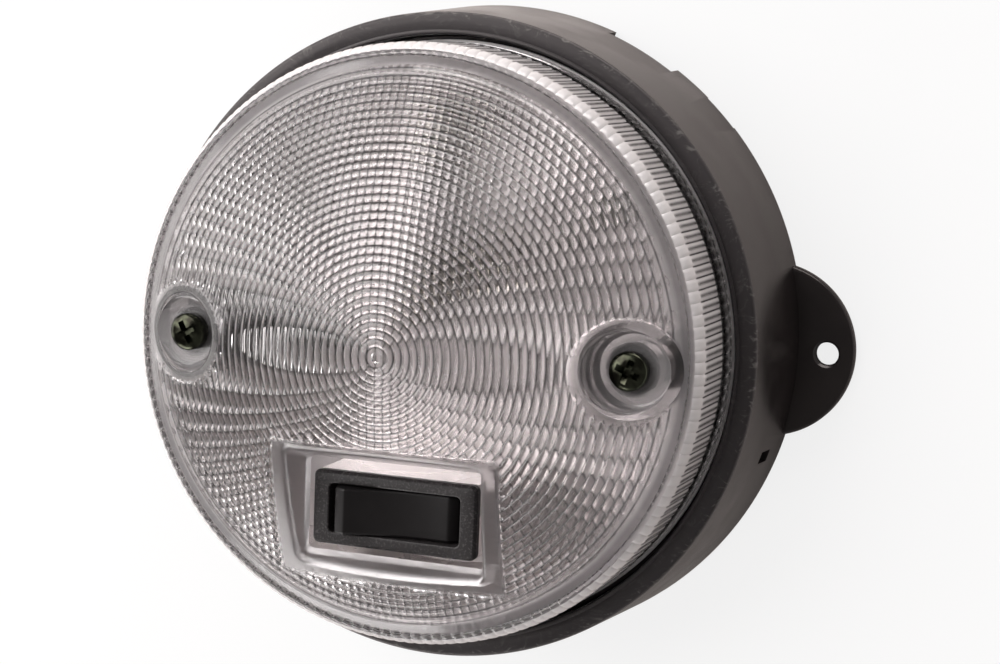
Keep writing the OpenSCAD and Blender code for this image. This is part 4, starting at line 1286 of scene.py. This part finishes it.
def even_finish(name, dark, light, rough, grains, depth, patches=60.0, speckle=0.0, **constants):
    """A finish whose colour and gloss wander between two values under a fine grain, with light specks."""
    material, tree, shader = start_finish(name, **constants)
    effect = place_effect(tree, grain, Grains_a_metre=grains, Patches_a_metre=patches)
    colour = blend_colours(effect.outputs["Unevenness"], dark, light)
    if speckle:
        specks = times(remap(effect.outputs["Height"], 0.5, 0.68), speckle)
        colour = blend_colours(specks, colour, tuple(3 * c for c in light))
    tree.links.new(colour, shader.inputs["Base Color"])
    tree.links.new(remap(effect.outputs["Unevenness"], 0, 1, *rough), shader.inputs["Roughness"])
    relief(tree, shader, effect.outputs["Height"], depth)
    print("finish:", name)
    return material


# %% [markdown]
# ## The housing's black
# The cup is black plastic with a warm sheen. Its wall is glossy and its front ring is duller. The
# ring's top is painted a little lighter, a painted sheen for the light that face catches, and the
# ring's outer edge is scuffed. Masks from height and radius keep the lighter paint on the top and
# the scuffs on that edge, so one finish serves the whole moulding.

# %% Housing black
material, tree, shader = start_finish("housing_black", Specular_IOR_Level=0.38,
                                      Specular_Tint=(1.0, 0.94, 0.92, 1.0))
place = tree.nodes.new("ShaderNodeTexCoord").outputs["Object"]
split = add_node(tree, "ShaderNodeSeparateXYZ", {0: place})
flat = add_node(tree, "ShaderNodeVectorMath", {0: place, 1: (1.0, 1.0, 0.0)}, operation="MULTIPLY")
radius = add_node(tree, "ShaderNodeVectorMath", {0: flat.outputs[0]}, operation="LENGTH").outputs["Value"]
TOP_LOW, TOP_HIGH, EDGE_NEAR, EDGE_FAR = 27.4, 28.2, 58.8, 59.8
on_top = remap(split.outputs["Z"], TOP_LOW * MM, TOP_HIGH * MM)
outer_edge = times(remap(radius, EDGE_NEAR * MM, EDGE_FAR * MM), on_top)
wear = place_effect(tree, scuffs, Marks_a_metre=520.0, Cover=1.0, Stretch=2.0)
fine_grain = place_effect(tree, grain, Grains_a_metre=2200.0, Patches_a_metre=45.0)
worn = times(wear.outputs["Marks"], outer_edge)
face_marks = times(times(wear.outputs["Marks"], on_top), 0.25)
rubbed = plus(worn, face_marks)
warm = blend_colours(fine_grain.outputs["Unevenness"], (0.0125, 0.0105, 0.0108),
                     (0.021, 0.0175, 0.0175))
# Painted sheen: the top of the front ring is painted lighter than the wall
black_with_painted_top = blend_colours(on_top, warm, (0.036, 0.033, 0.035))
tree.links.new(blend_colours(rubbed, black_with_painted_top, (0.13, 0.125, 0.12)), shader.inputs["Base Color"])
gloss = remap(on_top, 0, 1, 0.22, 0.40)
uneven = remap(fine_grain.outputs["Unevenness"], 0, 1, -0.04, 0.05)
tree.links.new(plus(plus(gloss, uneven), times(rubbed, 0.25)), shader.inputs["Roughness"])
scratches = times(wear.outputs["Depth"], rubbed)
relief(tree, shader, plus(fine_grain.outputs["Height"], scratches), 0.02)
print("finish:", material.name)

# %% [markdown]
# ## The three finishes of the lens
# The lens is one clear moulding, but it doesn't look equally clear everywhere. The ribbed side wall
# glows evenly, as a frosted one does, and the walls of the window and the screw recesses look satin.
# The three finishes are the same plastic, each with its own plain share of light that goes straight
# through. The valley masks paint shade into its colour, nearly black in the valleys and in the
# middles of the skirt's ribs, and the smooth borders are painted darker as painted shade and are
# hazier than the pattern.

# %% Lens finishes
# How much painted shade the valleys, the rib middles and the borders get, and how hazy the borders are
RING_SHADE, FLUTE_SHADE, SKIRT_SHADE, RIB_SHADE = 0.9, 0.78, 0.97, 0.75
BORDER_SHADE, BORDER_ROUGH, WINDOW_ROUGH, SKIRT_ROUGH = 0.55, 0.12, 0.14, 0.05
SKIRT_CLEAR, RECESS_CLEAR = 0.42, 0.8


def lens_finish(name, clear):
    """Clear plastic with painted shade in its valleys and on its borders; clear is the share of the light
    that it doesn't scatter.
    """
    material, tree, shader = start_finish(name, Transmission_Weight=clear, IOR=1.49, Metallic=0.0)
    cloud = place_effect(tree, grain, Grains_a_metre=900.0, Patches_a_metre=80.0)
    lines = place_effect(tree, valleys)
    tint = blend_colours(cloud.outputs["Unevenness"], (0.975, 0.95, 0.955), (0.99, 0.97, 0.975))
    # Painted shade: the smooth borders are painted darker than the clear tint
    tint_with_painted_border_shade = blend_colours(times(lines.outputs["Smooth"], BORDER_SHADE), tint, (0.30, 0.285, 0.29))
    # Painted shade: the valleys and the middles of the skirt's ribs are painted almost black
    dark = times(lines.outputs["Rings"], RING_SHADE)
    for output, shade in (("Flutes", FLUTE_SHADE), ("Skirt", SKIRT_SHADE), ("Rib middle", RIB_SHADE)):
        dark = maths("MAXIMUM", dark, times(lines.outputs[output], shade))
    tree.links.new(blend_colours(dark, tint_with_painted_border_shade, (0.01, 0.009, 0.009)), shader.inputs["Base Color"])
    haze = remap(cloud.outputs["Unevenness"], 0, 1, 0.015, 0.035)
    for output, rough in (("Smooth", BORDER_ROUGH), ("Window", WINDOW_ROUGH)):
        haze = plus(haze, times(lines.outputs[output], rough))
    where = tree.nodes.new("ShaderNodeTexCoord").outputs["Object"]
    height = add_node(tree, "ShaderNodeSeparateXYZ", {0: where}).outputs["Z"]
    haze = plus(haze, remap(height, 41.5 * MM, 40.5 * MM, 0, SKIRT_ROUGH))
    tree.links.new(haze, shader.inputs["Roughness"])
    return material


lens_clear = lens_finish("lens_clear", 1.0)
lens_frosted = lens_finish("lens_frosted", SKIRT_CLEAR)
lens_satin = lens_finish("lens_satin", RECESS_CLEAR)
print("lens finishes:", lens_clear.name, lens_frosted.name, lens_satin.name)

# %% [markdown]
# ## Plain finishes
# The other pieces are even plastics and metals. Each is a pair of close colours and a pair of close
# roughnesses that the grain effect wanders between, with the grains a metre and their depth in
# millimetres. The switch's charcoal bezel is coarser than the rest and has light specks.

# %% Finishes of the plastics
reflector_silver = even_finish("reflector_silver", (0.80, 0.765, 0.76), (0.86, 0.825, 0.82), (0.24, 0.32),
                               1400.0, 0.01, Metallic=0.75)
gasket_rubber = even_finish("gasket_rubber", (0.80, 0.78, 0.78), (0.86, 0.84, 0.84), (0.45, 0.6),
                            1800.0, 0.02)
switch_charcoal = even_finish("switch_charcoal", (0.019, 0.017, 0.0173), (0.027, 0.0243, 0.0247),
                              (0.42, 0.52), 2400.0, 0.09, speckle=0.8, Specular_IOR_Level=0.36)
rocker_black = even_finish("rocker_black", (0.0075, 0.0064, 0.0068), (0.011, 0.0095, 0.010), (0.38, 0.46),
                           3600.0, 0.015, Specular_IOR_Level=0.3)
plunger_nylon = even_finish("plunger_nylon", (0.70, 0.67, 0.60), (0.76, 0.73, 0.66), (0.4, 0.5), 1800.0, 0.01)

# %% Finishes of the metals
screw_finish = even_finish("screw_metal", (0.020, 0.019, 0.015), (0.06, 0.065, 0.045), (0.14, 0.26),
                           1500.0, 0.01, patches=500.0, Metallic=1.0)
small_screw_finish = even_finish("small_screw_metal", (0.42, 0.41, 0.39), (0.55, 0.54, 0.52), (0.3, 0.4),
                                 1500.0, 0.01, Metallic=1.0)
contact_brass = even_finish("contact_brass", (0.60, 0.44, 0.19), (0.74, 0.57, 0.29), (0.25, 0.38),
                            900.0, 0.01, Metallic=1.0)
cap_nickel = even_finish("cap_nickel", (0.56, 0.54, 0.50), (0.66, 0.64, 0.60), (0.22, 0.34), 900.0, 0.01,
                         Metallic=1.0)
spring_finish = even_finish("spring_steel", (0.45, 0.45, 0.44), (0.55, 0.55, 0.54), (0.25, 0.35),
                            900.0, 0.005, Metallic=1.0)
filament_finish = even_finish("filament_metal", (0.20, 0.20, 0.21), (0.30, 0.30, 0.31), (0.35, 0.45),
                              900.0, 0.002, Metallic=1.0)

# %% Clear glass of the bulb
bulb_clear, tree, shader = start_finish("bulb_clear", Transmission_Weight=1.0, IOR=1.5)
bulb_grain = place_effect(tree, grain, Grains_a_metre=300.0, Patches_a_metre=60.0)
glass_rough = remap(bulb_grain.outputs["Unevenness"], 0, 1, 0.0, 0.02)
tree.links.new(glass_rough, shader.inputs["Roughness"])
print("finish:", bulb_clear.name)

# %% [markdown]
# ## Dressing the pieces
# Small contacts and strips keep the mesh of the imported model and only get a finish. The pieces that
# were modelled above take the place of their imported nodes, and each is told which body it moves with.

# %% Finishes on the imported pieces
CAD_FINISH = {"lens_gasket": gasket_rubber, "reflector": reflector_silver}
for name in ("bulb_cap_top", "bulb_cap_bottom", "bulb_contact_top", "bulb_contact_bottom",
             "contact_rivet_top", "contact_rivet_bottom"):
    CAD_FINISH[name] = cap_nickel
for name in ("contact_blade", "switch_terminal_feed", "switch_terminal_lamp", "switch_terminal_door",
             "feed_strip", "lamp_strip", "earth_strip", "door_strip"):
    CAD_FINISH[name] = contact_brass
for name, finish in CAD_FINISH.items():
    for k in range(len(cad_nodes[name].data.materials)):
        cad_nodes[name].data.materials[k] = finish
print("packed pieces dressed:", len(CAD_FINISH))

# %% Finishes on the modelled pieces
OWN_PIECES = [
    (lens_piece, lens_clear, "base", "lens", ["lens"]),
    (housing, housing_black, "base", "housing", ["housing"]),
    (ribs, housing_black, "base", "housing", []),
    (switch_body, switch_charcoal, "base", "switch_body", ["switch_body"]),
    (rocker, rocker_black, "key", "rocker", ["rocker"]),
    (lens_screws, screw_finish, "base", "lens_screw", ["lens_screw_left", "lens_screw_right"]),
    (reflector_screws, small_screw_finish, "base", "screw",
     ["reflector_screw_left", "reflector_screw_right"]),
    (spring, spring_finish, "key", "spring", ["switch_spring"]),
    (plunger, plunger_nylon, "key", "plunger", ["switch_plunger"]),
    (bulb_envelope, bulb_clear, "base", "bulb_glass", ["bulb_glass"]),
    (filament, filament_finish, "base", "bulb_cap", []),
]
for piece, finish, rides_on, material_slot, stands_for in OWN_PIECES:
    piece.data.materials.clear()
    piece.data.materials.append(finish)
    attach(piece, rides_on)
    if stands_for:
        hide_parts(*stands_for)
print("modelled pieces dressed:", len(OWN_PIECES))

# %% [markdown]
# ## The frosted and satin walls of the lens
# The lens is one mesh, so its second and third finish are given face by face: the frosted one to the
# side wall and its inner side, the satin one to the walls of the window and to the screw recesses.

# %% Frosted walls of the lens
FROST_LOW, FROST_HIGH, FROST_INSIDE = 31.2, 44.1, 50.0
lens_piece.data.materials.append(lens_frosted)
lens_piece.data.materials.append(lens_satin)
frosted_faces, satin_faces = 0, 0
for face in lens_piece.data.polygons:
    across, along, up = (value / MM for value in face.center)
    if FROST_LOW < up < FROST_HIGH and math.hypot(across, along) > FROST_INSIDE:
        face.material_index = 1
        frosted_faces += 1
    elif math.hypot(abs(across) - SCREW_X, along) < RECESS_R or FROST_LOW < up < FROST_HIGH:
        face.material_index = 2
        satin_faces += 1
print("frosted faces:", frosted_faces, "satin faces:", satin_faces)

# %% [markdown]
# ## The floor
# The light lies on a pale floor. To the camera it glows almost white, as the background of the
# photograph does, and in reflections it does so where it is clear of the object's shadow. For all
# other light it is plain warm grey paint, so it throws no extra light on the object.

# %% Floor
FLOOR_HALF, FLOOR_GLOW = 2.5, 0.82
SHADOW_R, CLEAR_R = 0.1, 0.4
floor_mesh = bpy.data.meshes.new("floor")
floor_corners = [(x * FLOOR_HALF, y * FLOOR_HALF, -0.0004) for x, y in ((-1, -1), (1, -1), (1, 1), (-1, 1))]
floor_mesh.from_pydata(floor_corners, [], [(0, 1, 2, 3)])
floor = link("floor", floor_mesh)
floor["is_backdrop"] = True
floor_paint, tree, shader = start_finish("floor_paint", Roughness=0.9, Specular_IOR_Level=0.1)
rays = tree.nodes.new("ShaderNodeLightPath")
warm_floor = blend_colours(rays.outputs["Is Camera Ray"], (0.86, 0.80, 0.77), (0.88, 0.88, 0.88))
tree.links.new(warm_floor, shader.inputs["Base Color"])
glow = add_node(tree, "ShaderNodeEmission", {"Color": (1, 1, 1, 1), "Strength": 1.0})
floor_place = tree.nodes.new("ShaderNodeTexCoord").outputs["Object"]
from_middle = add_node(tree, "ShaderNodeVectorMath", {0: floor_place}, operation="LENGTH").outputs["Value"]
clear_of_shadow = remap(from_middle, SHADOW_R, CLEAR_R)
reflected = maths("MAXIMUM", rays.outputs["Is Glossy Ray"], rays.outputs["Is Transmission Ray"])
seen = maths("MAXIMUM", rays.outputs["Is Camera Ray"], times(reflected, clear_of_shadow))
share = times(seen, FLOOR_GLOW)
both = add_node(tree, "ShaderNodeMixShader", {0: share, 1: shader.outputs[0], 2: glow.outputs[0]})
tree.links.new(both.outputs[0], tree.nodes["Material Output"].inputs["Surface"])
floor_mesh.materials.append(floor_paint)
print("floor:", 2 * FLOOR_HALF, "m wide")

# %% [markdown]
# ## The studio round it
# Behind the floor the camera sees a pale backdrop. Reflections and the view through clear plastic see
# it too, but only near the horizon. Higher up the studio is dim, because rings and flutes only show
# where bright and dark parts of the room meet in them.

# %% World
WORLD_TINT, WORLD_LEVEL = (1.0, 0.955, 0.935), 0.21
BACKDROP_WHITE, BACKDROP_TOP = (0.93, 0.93, 0.93), 0.33
world = bpy.data.worlds.new("studio")
bpy.context.scene.world = world
world.use_nodes = True
sky = world.node_tree
sky_rays = sky.nodes.new("ShaderNodeLightPath")
look = sky.nodes.new("ShaderNodeTexCoord").outputs["Generated"]
way = add_node(sky, "ShaderNodeSeparateXYZ", {0: look})
backdrop = remap(way.outputs["Z"], BACKDROP_TOP, BACKDROP_TOP / 3)
mirrored = maths("MAXIMUM", sky_rays.outputs["Is Glossy Ray"], sky_rays.outputs["Is Transmission Ray"])
shown = maths("MAXIMUM", sky_rays.outputs["Is Camera Ray"], times(mirrored, backdrop))
dim_studio = tuple(WORLD_LEVEL * part for part in WORLD_TINT)
sky.links.new(blend_colours(shown, dim_studio, BACKDROP_WHITE), sky.nodes["Background"].inputs["Color"])
print("reflections see the backdrop up to", round(math.degrees(math.asin(BACKDROP_TOP)), 1), "degrees")

# %% [markdown]
# ## The soft boxes
# Four soft boxes light the object from the upper left, from beyond the top edge, from the left and
# from the lower left, with dark gaps between them. They are large and close, so the shadows stay
# soft, and weak enough that a colour renders about as it is written.

# %% Lamps
SOFT_BOXES = [
    ("box_upper_left", (-0.72, 0.42, 0.86), (1.0, 1.0), 15, (1.0, 0.97, 0.965)),
    ("box_top", (0.1, 1.3, 0.3), (1.3, 0.5), 12, (1.0, 0.95, 0.93)),
    ("box_front_left", (-0.6, -0.95, 0.4), (0.8, 0.5), 7, (1.0, 0.97, 0.96)),
    ("box_left", (-1.2, 0.05, 0.3), (0.9, 0.5), 3.5, (1.0, 0.97, 0.95)),
]
BOX_AIM = (0, 0, 0.03)


def soft_box(name, place, size, power, tint):
    data = bpy.data.lights.new(name, "AREA")
    data.shape = "RECTANGLE"
    data.size, data.size_y = size
    data.energy = power
    data.color = tint
    lamp = link(name, data)
    lamp.location = place
    lamp.rotation_euler = (Vector(BOX_AIM) - Vector(place)).to_track_quat("-Z", "Y").to_euler()
    print(f"{name}: {power} W over {size[0]} by {size[1]} m")


for box in SOFT_BOXES:
    soft_box(*box)
bpy.context.scene.view_settings.view_transform = "Standard"

# %% [markdown]
# ## Sizes and the end
# The box of the imported model and the box of the scene are both printed at the end. The visual model
# may not grow past the imported one.

# %% Sizes and end
bpy.context.view_layer.update()
new_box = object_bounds()
for label, corners in (("frame", cad_box), ("scene", new_box)):
    print(label, "box", [[round(v / MM, 2) for v in corner] for corner in corners])
